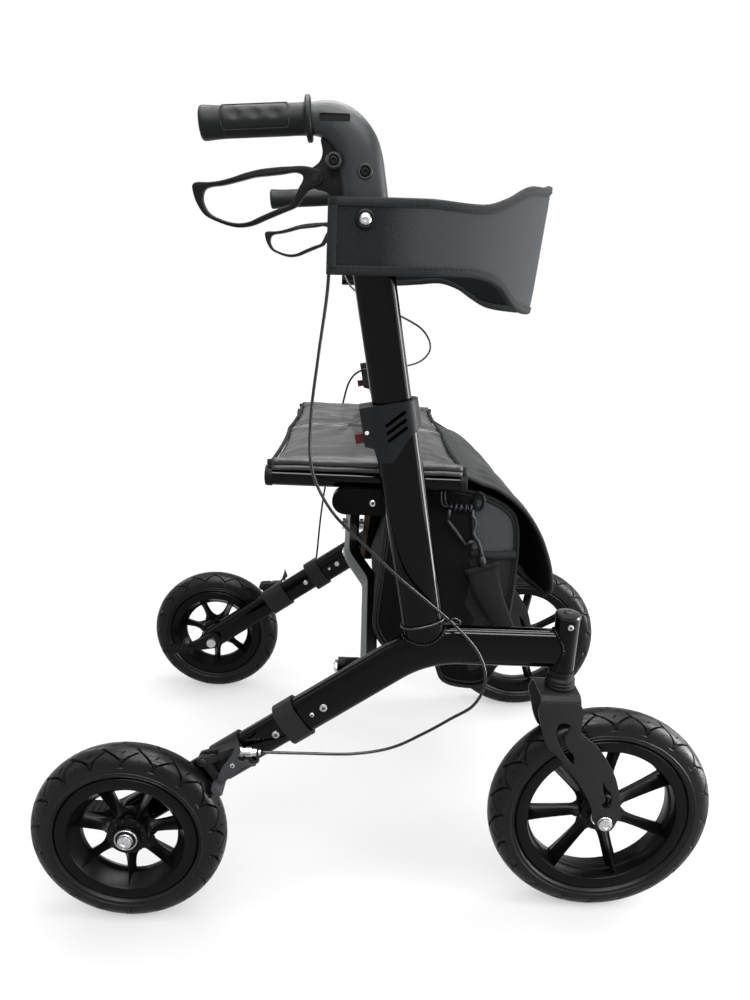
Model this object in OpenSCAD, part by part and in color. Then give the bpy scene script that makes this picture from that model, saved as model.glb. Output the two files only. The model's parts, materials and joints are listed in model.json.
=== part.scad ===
// All-terrain rollator with a sideways folding cross brace.
// Frame: +X forward, +Y to the user's left, +Z up, origin on the floor below the middle.
// Each side is drawn as the left one, and the right one is its mirror image.

/* [Wheels] */
// Diameter of the front caster tyres
front_d = 304; // [284:2:314]
// Diameter of the rear tyres
rear_d = 254; // [240:2:264]
// Width of every tyre
tyre_w = 45; // [38:1:47]
// Height of the tyre section from bead to tread
tyre_h = 37; // [30:1:40]
// Width of the rims between their lips
rim_w = 34; // [30:1:36]
// Number of spokes in a rim
spokes = 7; // [5:1:9]
// Thickness of a spoke blade
spoke_t = 8; // [6:0.5:11]
// Outer radius of a hub
hub_r = 23; // [20:1:26]
// Outer radius of a wheel bearing
bearing_r = 15; // [13:0.5:17]
// Width of a wheel bearing
bearing_w = 9; // [7:0.5:10]
// Radius of the axle bolts
axle_r = 5; // [4:0.5:6]
// Distance between the front and rear axles
wheelbase = 629; // [615:1:645]
// Lead of a caster axle ahead of its swivel axis
caster_lead = 74; // [68:1:80]
// Distance from the middle to a rear wheel's plane
rear_y = 301; // [300:1:310]

/* [Side frames] */
// Distance from the middle to a side frame's plane
frame_y = 264; // [262:1:266]
// Height of the lower tube's axis
tube_z = 391; // [388:1:398]
// Height of the lower tube's section
tube_h = 52; // [50:1:54]
// Width of the lower tube's section
tube_w = 29; // [28:0.5:30]
// Wall of the frame tubes
tube_wall = 3; // [2.5:0.1:3.2]
// Bend radius of the lower tube on its axis
bend_r = 150; // [110:5:180]
// Distance from the rear axle forward to the bend's corner
corner_run = 373; // [360:1:380]
// Distance along the leg from the corner to the lower tube's end
tube_end = 201; // [196:1:204]
// Length of the rear leg held inside the lower tube
leg_insert = 70; // [50:1:80]
// Outer radius of the head tube
head_r = 15.3; // [14:0.1:18]
// Length of the head tube
head_len = 73; // [66:1:76]
// Radius of the fork stem
stem_r = 11; // [9:0.5:12]
// Thickness of the fork plates
fork_t = 4; // [3:0.5:5]
// Length of the collar on the lower tube's end
sleeve_len = 28; // [24:1:32]
// Length of the brake mount on the leg
brake_mount_len = 44; // [38:1:48]

/* [Columns and handles] */
// Backward lean of the columns in degrees
lean = 11; // [10:0.5:12]
// Outward splay of the columns in degrees
splay = 3; // [2.5:0.1:3.5]
// Depth of the column section along the object
column_d = 52.4; // [50:0.2:54]
// Width of the column section across the object
column_w = 32; // [31:0.5:33]
// Length of a column from the lower tube's axis
column_len = 312; // [306:1:318]
// Distance along the column to the elbow's lower edge
elbow_from = 520; // [510:1:530]
// Length of the handle post inside the column
post_insert = 150; // [125:5:165]
// Travel of the handles downwards
height_down = 60; // [40:5:70]
// Radius of the hand grips
grip_r = 15.3; // [14:0.1:17]
// Length of a hand grip
grip_len = 113; // [105:1:120]
// Radius of the ring in front of the grip
grip_ring_r = 20.7; // [19:0.1:23]
// Rise of the grips against the column's square, in degrees
grip_rise = 6; // [4:0.5:7]
// Thickness of the brake lever
lever_t = 14; // [12:0.5:16]
// Travel of the height lock button
button_travel = 3; // [2:0.5:4]

/* [Cross brace and seat] */
// Distance from the middle to a lower pivot
pivot_y = 228; // [224:1:230]
// Height of the lower pivots
pivot_z = 336; // [332:1:340]
// Distance from the middle to a seat rail
rail_y = 235; // [233:1:237]
// Height of the seat rails
rail_z = 598; // [594:1:602]
// Radius of the seat rails
rail_r = 12; // [11:0.5:12.5]
// Length of the seat rails
rail_len = 245; // [220:5:260]
// Middle of the seat rails along the object
rail_x = -36; // [-40:1:-30]
// Width of a cross leg along the object
leg_w = 22; // [20:0.5:24]
// Depth of a cross leg's section
leg_d = 26; // [22:1:27]
// Backward step of the right cross leg
leg_step = 29; // [27:1:32]
// Place of the left cross leg and of the lower pivots along the object
leg_x = -22; // [-24:1:-20]
// Radius of the pivot pins
pin_r = 5; // [4:0.5:6]
// Thickness of the seat pad at its outer edge
pad_edge = 8; // [6:0.5:10]
// Rise of the seat pad's crown
pad_crown = 9; // [5:1:12]
// Depth of the curve drawn in at the pad's ends
pad_draw = 4; // [0:0.5:6]
// Half of the gap between the seat halves
pad_gap = 12; // [11:0.5:15]

/* [Backrest and bag] */
// Thickness of the backrest band
band_t = 6; // [4:0.5:8]
// Distance from the middle to the band's outer face at the handles
band_y = 317; // [315:0.5:320]
// Height of the band at the handles
band_h = 76; // [68:1:84]
// Height of the band at its middle
band_front_h = 172; // [150:2:180]
// Distance forward of the band's middle from its hinge lines
band_reach = 192; // [180:1:200]
// Distance from the middle to the bag's side
bag_y = 205; // [190:1:206]
// Height of the bag's underside
bag_z = 314; // [312:1:325]

/* [Hidden] */
$fn = 48;
// clearances
run_gap = 0.05;
slide_gap = 0.3;
part_gap = 0.5;
seat_gap = 0.2;
past = 1;
// wheels
front_r = front_d / 2;
rear_r = rear_d / 2;
rear_x = rear_r - (wheelbase + front_r + rear_r) / 2;
front_x = rear_x + wheelbase;
steer_x = front_x - caster_lead;
rim_lip = 2;
rim_wall = 7;
hub_w = 40;
cap_h = 5;
nut_h = 8;
wheel_gap = 4.5;
blade_in = tyre_w / 2 + wheel_gap;
spacer_r = axle_r + 4;
// lower tube and rear leg
corner_x = rear_x + corner_run;
corner_at = 46;
frame_x = corner_x - corner_at;
leg_a = atan2(tube_z - rear_r, corner_run);
leg_len = norm([corner_run, tube_z - rear_r]);
bend_t = bend_r * tan(leg_a / 2);
bend_lap = 0.6;
fuller = 0.1;
bore_h = tube_h - 2 * tube_wall;
bore_w = tube_w - 2 * tube_wall;
leg_h = bore_h - 2 * slide_gap;
leg_y = bore_w - 2 * slide_gap;
head_z = tube_z - 29;
crown_z = head_z - 25;
crown_h = 48;
crown_t = 6;
fork_back = 30;
fork_front = 24;
bend_drop = 22;
bolt_r = 3;
bolt_head_h = 3;
screw_r = 4;
tube_bolts = [153, 171];
tube_heads = [8, 5];
leg_bolt = 228;
sleeve_from = tube_end - 14;
brake_from = 275;
collar_wall = 4;
// brake
shoe_gap = 4.5;
brake_dir = 33;
shoe_r = rear_r + shoe_gap;
arm_pivot_r = rear_r + 15.5;
arm_pivot_dir = 47.5;
arm_t = 6;
arm_end_r = 6;
arm_tip_r = 5;
ear_t = 5;
ear_r = 7;
stop_block = [18, 18, 12];
arm_y = rear_y - 8;
// column and handle
column_x = corner_x + 3;
column_bore_d = column_d - 2 * tube_wall;
column_bore_w = column_w - 2 * tube_wall;
post_d = column_bore_d - 2 * slide_gap;
post_w = column_bore_w - 2 * slide_gap;
post_from = column_len - post_insert;
elbow_r = 45;
elbow_turn = 90 - grip_rise;
elbow_bend = 571;
elbow_d = 44;
elbow_w = 30;
spigot_r = 10;
lever_a = -46;
lever_s = 561;
lever_pin_r = 3;
web_t = 8;
collar_over = 5;
collar_len = 67;
collar_to = column_len + collar_over;
collar_from = collar_to - collar_len;
slot_drop = 35;
slot_from = collar_to - slot_drop;
slot_pitch = 9;
slot_tilt = 29;
slot_size = [28, 3, 4];
button_drop = 42;
button_at = [-48, -7, collar_to - button_drop];
button_size = [17, 14, 11];
// cross brace
pivot_x = frame_x + leg_x;
rails_x = frame_x + rail_x;
leg_phi = atan2(rail_z - pivot_z, pivot_y + rail_y);
brace_len = norm([rail_z - pivot_z, pivot_y + rail_y]);
cross_len = brace_len * pivot_y / (pivot_y + rail_y);
leg_stop = brace_len - rail_r + 1;
step_from = 134;
step_a = 30;
step_r = 40;
step_out = step_r * (1 - cos(step_a));
step_run = (leg_step - 2 * step_out) / sin(step_a);
step_len = 2 * step_r * sin(step_a) + step_run * cos(step_a);
boss_r = 12;
lug_back = 30;
lug_front = 11;
pin_end = 3;
saddle_run = 77;
saddle_back = frame_x - saddle_run;
screw_run = 50;
saddle_screw = saddle_back + screw_run;
saddle_len = 118;
saddle_h = 33;
saddle_z = rail_z - 41;
saddle_y = rail_y + 5;
// backrest
band_run = 12;
band_x = frame_x + band_run;
band_tail = 100;
band_z = 872;
band_front_z = 893;
band_gap = height_down * sin(splay) + part_gap;
band_bolt = 512.5;
snap_run = 62;
snap_x = band_x - snap_run;
snap_z = 892;
// brake cables as points x, y, z along their routes
cable_r = 2.5;
stop_run = 167;
stop_x = rear_x + stop_run;
stop_y = 289;
stop_z = 241;
stop_r = 4.5;
stop_len = 32;
stop_from = stop_x - stop_len;
right_route = [[-85, -292, 903], [-87, -291, 870], [-88, -291, 820], [-96, -292, 750], [-103, -292, 678],
    [-100, -292, 620], [-76, -294, 572], [-36, -296, 533], [8, -296, 492], [48, -292, 458], [82, -290, 428],
    [112, -292, 395], [124, -295, 358], [112, -296, 324], [84, -296, 303], [50, -296, 280], [10, -296, 258],
    [-40, -294, 246], [-100, -290, 242], [stop_x, -stop_y, stop_z]];
left_route = [[-85, 292, 903], [-87, 287, 868], [-72, 272, 834], [-32, 261, 808], [20, 258, 786], [64, 258, 762],
    [80, 257, 730], [60, 255, 704], [10, 254, 691], [-40, 254, 686], [-66, 264, 664], [-80, 280, 610],
    [-94, 288, 530], [-108, 290, 450], [-116, 290, 380], [-121, 290, 310], [-127, 290, 262], [-138, 290, 246], [stop_x, stop_y, stop_z]];

// Flat section with two round ends, long along x
module obround(l, w) {
    square([l - w, w], center = true);
    for (s = [-1, 1]) translate([s * (l - w) / 2, 0]) circle(d = w);
}

// Upright bar with an obround section
module bar(l, w, h) linear_extrude(h) obround(l, w);

// Cylinder along Y from one distance to another
module rod_y(r, y0, y1) translate([0, y0, 0]) rotate([-90, 0, 0]) cylinder(r = r, h = y1 - y0);

// Cylinder along X from one place to another
module rod_x(r, x0, x1) translate([x0, 0, 0]) rotate([0, 90, 0]) cylinder(r = r, h = x1 - x0);

// Outline in the X and Z plane made thick along Y, about the plane y = 0
module plate(t) rotate([90, 0, 0]) linear_extrude(t, center = true) children();

// Left side as drawn, or the right side as its mirror image
module on_side(s) {
    if (s > 0) children();
    else mirror([0, 1, 0]) children();
}

// Places in the column's own frame: z along the column, y outwards
module in_column() translate([column_x, frame_y, tube_z]) rotate([-splay, -lean, 0]) children();

// Places along the rear leg: z from the bend's corner to the axle, x square to it and upwards
module on_leg() translate([corner_x, frame_y, tube_z]) rotate([0, -90 - leg_a, 0]) children();

// Bent length of a tube, its section given as a child
module bend(r, angle) rotate_extrude(angle = angle, $fn = 96) translate([r, 0]) children();

// Lower tube's run as a solid of the given section
module lower_run(h, w, x_end, z_end) {
    translate([corner_x + bend_t, frame_y, tube_z])
        rotate([0, 90, 0]) bar(h, w, x_end - corner_x - bend_t);
    translate([corner_x + bend_t, frame_y, tube_z - bend_r]) rotate([90, 0, 0])
        rotate([0, 0, 90 - bend_lap]) bend(bend_r, leg_a + 2 * bend_lap) obround(h + fuller, w + fuller);
    on_leg() translate([0, 0, bend_t]) bar(h, w, z_end - bend_t);
}

// Lug that carries a cross leg's pivot pin on the inside of the lower tube
module pivot_lug(x0, x1) {
    reach = frame_y - tube_w / 2 + past - pivot_y;
    translate([0, pivot_y, pivot_z]) {
        rod_x(boss_r, x0, x1);
        translate([x0, 0, -boss_r]) cube([x1 - x0, reach, 2 * boss_r]);
    }
}

module side_frame(s) color([0.03, 0.03, 0.035]) on_side(s) difference() {
    union() {
        lower_run(tube_h, tube_w, steer_x, tube_end);
        translate([steer_x, frame_y, head_z]) cylinder(r = head_r, h = head_len);
        pivot_lug(pivot_x - leg_w / 2 - lug_back, pivot_x - leg_w / 2 - part_gap);
        pivot_lug(pivot_x + leg_w / 2 + part_gap, pivot_x + leg_w / 2 + lug_front);
    }
    lower_run(bore_h, bore_w, steer_x - head_r - tube_wall, tube_end + past);
    translate([steer_x, frame_y, head_z - past]) cylinder(r = stem_r + run_gap, h = head_len + 2 * past);
    translate([pivot_x, pivot_y, pivot_z]) rod_x(pin_r + run_gap, -4 * leg_w, 4 * leg_w);
    for (z = tube_bolts) on_leg() translate([0, 0, z]) rod_y(bolt_r + run_gap, -tube_w, tube_w);
}

module column(s) color([0.03, 0.03, 0.035]) on_side(s) difference() {
    in_column() bar(column_d, column_w, column_len);
    in_column() translate([0, 0, tube_h]) bar(column_bore_d, column_bore_w, column_len);
    lower_run(tube_h + 2 * seat_gap, tube_w + 2 * seat_gap, steer_x, tube_end);
    translate([corner_x - tube_end, 0, 0]) cube([2 * tube_end, 2 * frame_y, tube_z]);
}

module rear_leg(s) color([0.03, 0.03, 0.035]) on_side(s) difference() {
    union() {
        on_leg() translate([0, 0, tube_end - leg_insert]) bar(leg_h, leg_y, leg_len - tube_end + leg_insert);
        translate([rear_x, frame_y, rear_r]) rod_y(leg_h / 2, -leg_y / 2, leg_y / 2);
    }
    on_leg() translate([0, 0, tube_end - leg_insert - past])
        bar(leg_h - 2 * tube_wall, leg_y - 2 * tube_wall, leg_insert + brake_from + past - tube_end);
    translate([rear_x, frame_y, rear_r]) rod_y(axle_r + run_gap, -tube_w, tube_w);
    for (z = [tube_bolts[0], tube_bolts[1], leg_bolt])
        on_leg() translate([0, 0, z]) rod_y(bolt_r + run_gap, -tube_w, tube_w);
}

// Collar on the end of the lower tube, and the brake mount with its fork for the arm
module leg_collars(s) color([0.1, 0.1, 0.11]) on_side(s) {
    outer_h = tube_h + 2 * collar_wall;
    outer_w = tube_w + 2 * collar_wall;
    difference() {
        on_leg() translate([0, 0, sleeve_from]) bar(outer_h, outer_w, sleeve_len);
        on_leg() translate([0, 0, sleeve_from - past])
            bar(tube_h + 2 * seat_gap, tube_w + 2 * seat_gap, tube_end - sleeve_from + past + seat_gap);
        on_leg() translate([0, 0, sleeve_from])
            bar(leg_h + 2 * seat_gap, leg_y + 2 * seat_gap, sleeve_len + past);
    }
    mount_h = leg_h + 2 * collar_wall;
    mount_w = leg_y + 2 * collar_wall;
    difference() {
        union() {
            on_leg() translate([0, 0, brake_from]) bar(mount_h, mount_w, brake_mount_len);
            brake_ears();
        }
        on_leg() translate([0, 0, brake_from - past])
            bar(leg_h + 2 * seat_gap, leg_y + 2 * seat_gap, brake_mount_len + 4 * collar_wall);
        at_arm_pivot() rod_y(bolt_r + run_gap, -tyre_w, tyre_w);
        at_arm_pivot() translate([-1.6 * boss_r, -arm_t / 2 - part_gap, -1.6 * boss_r])
            cube([3.2 * boss_r, arm_t + 2 * part_gap, 3.2 * boss_r]);
    }
}

// Pin that the brake arm swings on, above the tyre
module at_arm_pivot() translate([rear_x + arm_pivot_r * cos(arm_pivot_dir), arm_y,
    rear_r + arm_pivot_r * sin(arm_pivot_dir)]) children();

// Ears of the brake mount that reach out over the tyre, and the stop for the cable
module brake_ears() {
    difference() {
        hull() {
            at_arm_pivot() rod_y(ear_r, -arm_t / 2 - ear_t, arm_t / 2 + ear_t);
            on_leg() translate([leg_h / 2 - 6, mount_side(), brake_from + 6]) rod_y(5, 0, 12);
        }
        translate([rear_x, rear_y, rear_r]) rod_y(rear_r + 3, -tyre_w, tyre_w);
    }
    on_leg() translate([0, mount_side(), brake_from + 2]) cube(stop_block);
    translate([0, stop_y, stop_z]) rod_x(stop_r, stop_from, stop_x - part_gap);
}
function mount_side() = leg_y / 2 + 1;

module brake_arm(s) color([0.25, 0.25, 0.26]) on_side(s) difference() {
    px = arm_pivot_r * cos(arm_pivot_dir);
    pz = arm_pivot_r * sin(arm_pivot_dir);
    shoe = 9;
    shoe_w = 28;
    union() {
        translate([rear_x, arm_y, rear_r]) plate(arm_t) difference() {
            hull() {
                translate([px, pz]) circle(r = arm_end_r);
                rotate(brake_dir) translate([shoe_r + arm_tip_r, 0]) circle(r = arm_tip_r);
            }
            circle(r = shoe_r, $fn = 96);
        }
        translate([rear_x, arm_y, rear_r]) plate(arm_t) hull() {
            translate([px, pz]) circle(r = arm_end_r);
            translate([px + 4, pz + 24]) circle(r = arm_tip_r);
        }
        intersection() {
            translate([rear_x, rear_y, rear_r]) difference() {
                rod_y(shoe_r + shoe, -shoe_w / 2, shoe_w / 2);
                rod_y(shoe_r, -shoe_w, shoe_w);
            }
            translate([rear_x, rear_y - shoe_w / 2, rear_r]) rotate([0, -brake_dir, 0])
                translate([shoe_r - 5, 0, -11]) cube([20, shoe_w, 14]);
        }
    }
    at_arm_pivot() rod_y(bolt_r + run_gap, -tyre_w, tyre_w);
}

// Collar that locks the handle post, with a pocket for its button
module lock_collar(s) color([0.12, 0.12, 0.13]) on_side(s) in_column() difference() {
    intersection() {
        union() {
            translate([0, 0, collar_from]) bar(column_d + 2 * collar_wall, column_w + 2 * collar_wall,
                collar_to - collar_from);
            translate([-38, -15, collar_from]) cube([30, 30, collar_to - collar_from]);
        }
        plate(3 * column_w) polygon([[-38, collar_from + 22], [-38, collar_to], [31, collar_to], [31, collar_from + 36],
            [14, collar_from + 26], [-8, collar_from], [-26, collar_from], [-28, collar_from + 18]]);
    }
    translate([0, 0, collar_from - past])
        bar(column_d + 2 * seat_gap, column_w + 2 * seat_gap, column_len + seat_gap - collar_from + past);
    translate([0, 0, collar_from]) bar(post_d + 2 * slide_gap, post_w + 2 * slide_gap, collar_to);
    for (y = [-1, 1], n = [0 : 2]) translate([1, y * (column_w / 2 + collar_wall), slot_from + slot_pitch * n])
        rotate([0, -slot_tilt, 0]) cube(slot_size, center = true);
    button_pocket(slide_gap, button_travel);
}

// Space of the lock button, grown by a gap and by its travel
module button_pocket(gap, travel) {
    translate(button_at - [gap, gap, gap]) cube(button_size + [2 * gap + travel, 2 * gap, 2 * gap]);
}

module lock_button(s) color([0.35, 0.04, 0.07]) on_side(s) in_column() button_pocket(0, 0);

// Cradle on the column's inner side that the seat rail drops into
module saddle(s) color([0.04, 0.04, 0.045]) on_side(s) {
    inner = frame_y + (saddle_z - tube_z) * tan(splay) - column_w / 2 - part_gap;
    difference() {
        translate([saddle_back + saddle_len / 2, (saddle_y + inner) / 2, saddle_z + saddle_h / 2])
            plate(inner - saddle_y) obround(saddle_len, saddle_h);
        translate([saddle_back, rail_y, rail_z]) rod_x(rail_r + part_gap, -saddle_len, 2 * saddle_len);
    }
}

module headset(s) color([0.1, 0.1, 0.105]) on_side(s) translate([steer_x, frame_y, 0]) {
    translate([0, 0, head_z + head_len]) cylinder(r = head_r + 0.7, h = 5);
    difference() {
        union() {
            translate([0, 0, crown_z + part_gap]) cylinder(r = head_r + 3.4, h = 13);
            translate([0, 0, crown_z + 13]) cylinder(r = head_r - 1, h = head_z - crown_z - 13);
        }
        translate([0, 0, crown_z]) cylinder(r = stem_r + run_gap, h = head_z - crown_z + past);
    }
}

// Outline of a fork blade, from the crown to the axle
function fork_line(u, shift) = [shift + (caster_lead - 14) * (1 - cos(180 * u)) / 2,
    crown_z - bend_drop + (front_r - crown_z + bend_drop) * u];
module fork_outline() {
    steps = 12;
    difference() {
        union() {
            translate([-fork_back, crown_z - crown_h]) square([fork_back + fork_front, crown_h]);
            polygon(concat([for (i = [0 : steps]) fork_line(i / steps, -fork_back + 26 * i / steps)],
                [for (i = [steps : -1 : 0]) fork_line(i / steps, fork_front + 6 * i / steps)]));
            translate([caster_lead, front_r]) circle(r = 18);
        }
        translate([-2, crown_z - 58]) rotate(12) obround(12, 26);
        translate([caster_lead - 8, front_r + 46]) rotate(-8) obround(10, 28);
    }
}

// Fork as a bent plate with its stem
module fork(s) color([0.05, 0.05, 0.055]) on_side(s) translate([steer_x, frame_y, 0]) difference() {
    union() {
        for (y = [-1, 1]) translate([0, y * (blade_in + fork_t / 2), 0]) plate(fork_t) fork_outline();
        translate([-fork_back, -blade_in - fork_t, crown_z - crown_t])
            cube([fork_back + fork_front, 2 * (blade_in + fork_t), crown_t]);
        translate([0, 0, crown_z - crown_t]) cylinder(r = stem_r, h = head_z - crown_z + head_len);
    }
    translate([caster_lead, 0, front_r]) rod_y(axle_r + run_gap, -2 * blade_in, 2 * blade_in);
}

// Bolt with its head and nut, two bearings and their spacers, along Y from y0 to y1
module axle_set(y0, y1, hub_mid) {
    rod_y(axle_r, y0 - nut_h, y1 + past);
    rod_y(spacer_r, y1, y1 + cap_h);
    rod_y(spacer_r, y0 - nut_h, y0);
    for (m = [-1, 1]) translate([0, hub_mid, 0]) mirror([0, (m > 0) ? 0 : 1, 0]) difference() {
        rod_y(bearing_r, hub_w / 2 - bearing_w, hub_w / 2);
        rod_y(axle_r + run_gap, 0, hub_w);
    }
}

module front_axle(s) color([0.75, 0.75, 0.77]) on_side(s) translate([front_x, frame_y, front_r]) {
    side = blade_in + fork_t + seat_gap;
    axle_set(-side, side, 0);
    for (m = [0, 1]) mirror([0, m, 0]) difference() {
        rod_y(spacer_r, hub_w / 2 + seat_gap, blade_in - seat_gap);
        rod_y(axle_r + run_gap, 0, hub_w);
    }
}

module rear_axle(s) color([0.75, 0.75, 0.77]) on_side(s) translate([rear_x, rear_y, rear_r]) {
    inner = frame_y - leg_y / 2 - 12 - part_gap - rear_y;
    axle_set(inner, hub_w / 2 + seat_gap, 0);
    difference() {
        rod_y(spacer_r, frame_y + leg_y / 2 + seat_gap - rear_y, -hub_w / 2 - seat_gap);
        rod_y(axle_r + run_gap, -hub_w, hub_w);
    }
}

// Section of a rim, with its barrel drawn in towards the middle
module rim_section(seat, depth) polygon([[seat, -rim_w / 2], [seat + rim_lip, -rim_w / 2 - 2],
    [seat - rim_wall, -rim_w / 2 - 2], [seat - depth, -4], [seat - depth, 4], [seat - rim_wall, rim_w / 2 + 2],
    [seat + rim_lip, rim_w / 2 + 2], [seat, rim_w / 2], [seat - 3, 4], [seat - 3, -4]]);

// Wheel with blade spokes, its axle along Y
module rim(r, depth) rotate([-90, 0, 0]) difference() {
    seat = r - tyre_h;
    barrel = seat - depth + 2;
    union() {
        rotate_extrude($fn = 96) rim_section(seat, depth);
        translate([0, 0, -hub_w / 2]) cylinder(r = hub_r, h = hub_w);
        for (n = [0 : spokes - 1]) rotate(90 + 360 * n / spokes) rotate([90, 0, 0])
            linear_extrude(spoke_t, center = true) polygon([[hub_r - 2, -hub_w / 2 + 3], [barrel, -7],
            [barrel + 8, -9], [barrel + 8, 9], [barrel, 7], [hub_r - 2, hub_w / 2 - 3]]);
    }
    translate([0, 0, -hub_w]) cylinder(r = axle_r + 3, h = 2 * hub_w);
    for (m = [0, 1]) mirror([0, 0, m]) translate([0, 0, hub_w / 2 - bearing_w - seat_gap])
        cylinder(r = bearing_r + run_gap, h = bearing_w + past);
}

module front_rim(s) color([0.07, 0.07, 0.075]) on_side(s) translate([front_x, frame_y, front_r])
    rim(front_r, 18);

module rear_rim(s) color([0.07, 0.07, 0.075]) on_side(s) translate([rear_x, rear_y, rear_r])
    rim(rear_r, 26);

// Tyre with a rounded section on its rim, its axle along Y
module tyre(r) {
    seat = r - tyre_h + 0.1;
    half = tyre_w / 2;
    rise = tyre_h - 13;
    crown = [for (t = [0 : 15 : 180]) [r - rise + rise * pow(sin(t), 0.8), half * cos(t)]];
    rotate([-90, 0, 0]) rotate_extrude($fn = 128)
        polygon(concat([[seat, rim_w / 2 - 1], [seat + rim_lip + 1, rim_w / 2 - 1],
            [seat + rim_lip + 1, rim_w / 2 + 2]], crown,
            [[seat + rim_lip + 1, -rim_w / 2 - 2], [seat + rim_lip + 1, -rim_w / 2 + 1], [seat, -rim_w / 2 + 1]]));
}

module front_tyre(s) color([0.02, 0.02, 0.02]) on_side(s) translate([front_x, frame_y, front_r]) tyre(front_r);

module rear_tyre(s) color([0.02, 0.02, 0.02]) on_side(s) translate([rear_x, rear_y, rear_r]) tyre(rear_r);

// Tread for the foot behind the rear axle, on the inside of the leg
module foot_pedal(s) color([0.06, 0.06, 0.065]) on_side(s) {
    outer = frame_y - leg_y / 2 - seat_gap;
    difference() {
        union() {
            translate([rear_x, outer - 6, rear_r]) plate(12) hull() {
                circle(r = 15);
                translate([-44, -16]) circle(r = 7);
            }
            translate([rear_x - 68, outer - 12, rear_r - 22]) bar(64, 24, 9);
        }
        translate([rear_x, frame_y, rear_r]) rod_y(axle_r + run_gap, -2 * tube_w, 0);
    }
}

module bolt_y(y0, y1, head) {
    rod_y(bolt_r, y0, y1);
    rod_y(head, y1, y1 + bolt_head_h);
}

module frame_bolts(s) color([0.8, 0.8, 0.82]) on_side(s) {
    side = tube_w / 2 + seat_gap;
    for (i = [0, 1]) on_leg() translate([0, 0, tube_bolts[i]]) bolt_y(-side, side, tube_heads[i]);
    on_leg() translate([0, 0, leg_bolt]) bolt_y(-leg_y / 2, leg_y / 2 + seat_gap, screw_r + 0.5);
    translate([pivot_x, pivot_y, pivot_z]) {
        front = leg_w / 2 + lug_front;
        rod_x(pin_r, -leg_w / 2 - lug_back - pin_end, front + pin_end);
        rod_x(pin_r + pin_end, front + seat_gap, front + pin_end + past);
    }
    translate([steer_x, frame_y, head_z + head_len - 2 * screw_r]) rod_y(screw_r, head_r + seat_gap, head_r + 3);
    translate([saddle_screw, saddle_y, saddle_z + saddle_h / 2]) rod_y(screw_r, -3, -seat_gap);
    at_arm_pivot() bolt_y(-arm_t / 2 - ear_t - seat_gap, arm_t / 2 + ear_t + seat_gap, 5);
}

// Oval tube that slides in the column
module handle_post(s) color([0.03, 0.03, 0.035]) on_side(s) in_column() difference() {
    translate([0, 0, post_from]) bar(post_d, post_w, elbow_from - post_from);
    translate([0, 0, post_from - past])
        bar(post_d - 2 * tube_wall, post_w - 2 * tube_wall, elbow_from - post_from + 2 * past);
}

// Places along the grip: z from the elbow's end to the grip's end, in the column's frame
module on_grip() translate([elbow_r * (cos(elbow_turn) - 1), 0, elbow_bend + elbow_r * sin(elbow_turn)])
    rotate([0, -elbow_turn, 0]) children();

// Moulded elbow with a plug in the post, a spigot in the grip and a web for the lever
module handle_elbow(s) color([0.07, 0.075, 0.08]) on_side(s) in_column() {
    plug = 40;
    difference() {
        union() {
            translate([0, 0, elbow_from + seat_gap]) bar(post_d, elbow_w, elbow_bend - elbow_from - seat_gap);
            translate([0, 0, elbow_from - plug]) bar(post_d - 2 * tube_wall - 2 * seat_gap,
                post_w - 2 * tube_wall - 2 * seat_gap, plug + 5);
            translate([-elbow_r, 0, elbow_bend]) rotate([90, 0, 0])
                rotate_extrude(angle = elbow_turn, $fn = 96) translate([elbow_r, 0]) obround(elbow_d - 4, elbow_w);
            on_grip() cylinder(r = spigot_r, h = grip_len - 12);
            plate(web_t) polygon([[-14, 534], [-32, 536], [-36, 546], [lever_a - 5, 552], [lever_a - 8, 564],
                [lever_a - 2, 570], [-34, 580], [-32, 594], [-20, 596]]);
        }
        translate([lever_a, 0, lever_s]) rod_y(lever_pin_r + run_gap, -web_t, web_t);
        translate([-22, elbow_w / 2 - 2, 613]) rotate([0, 8, 0]) cube([28, 8, 6], center = true);
    }
    translate([lever_a, 0, lever_s]) rod_y(lever_pin_r, -lever_t / 2 - 0.5, lever_t / 2 + 0.5);
}

// Soft grip with its ring
module grip(s) color([0.06, 0.06, 0.065]) on_side(s) in_column() on_grip() difference() {
    union() {
        translate([0, 0, seat_gap]) cylinder(r = grip_ring_r, h = 5);
        translate([0, 0, seat_gap]) cylinder(r = grip_r, h = grip_len);
    }
    translate([0, 0, -past]) cylinder(r = spigot_r + run_gap, h = grip_len - 12 + past + seat_gap);
}

// Loop lever that hangs under the grip
module brake_lever(s) color([0.04, 0.04, 0.045]) on_side(s) in_column() difference() {
    plate(lever_t) difference() {
        polygon([[-56, 574], [-88, 577], [-112, 578], [-138, 574], [-167, 573], [-173, 570], [-174, 564],
            [-170, 546], [-165, 538], [-137, 525], [-123, 524], [-102, 528], [-73, 535], [-63, 543],
            [-55, 550], [-46, 552], [-38, 556], [-38, 566], [-46, 570]]);
        polygon([[-66, 565], [-82, 569], [-114, 568], [-143, 567], [-160, 564], [-167, 557], [-164, 544],
            [-150, 537], [-136, 530], [-122, 529], [-104, 534], [-76, 541], [-70, 545], [-61, 556]]);
    }
    translate([-57, -web_t / 2 - slide_gap, 530]) cube([40, web_t + 2 * slide_gap, 60]);
    translate([-37, -lever_t, 500]) cube([40, 2 * lever_t, 100]);
    translate([lever_a, 0, lever_s]) rod_y(lever_pin_r + run_gap, -lever_t, lever_t);
}

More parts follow.
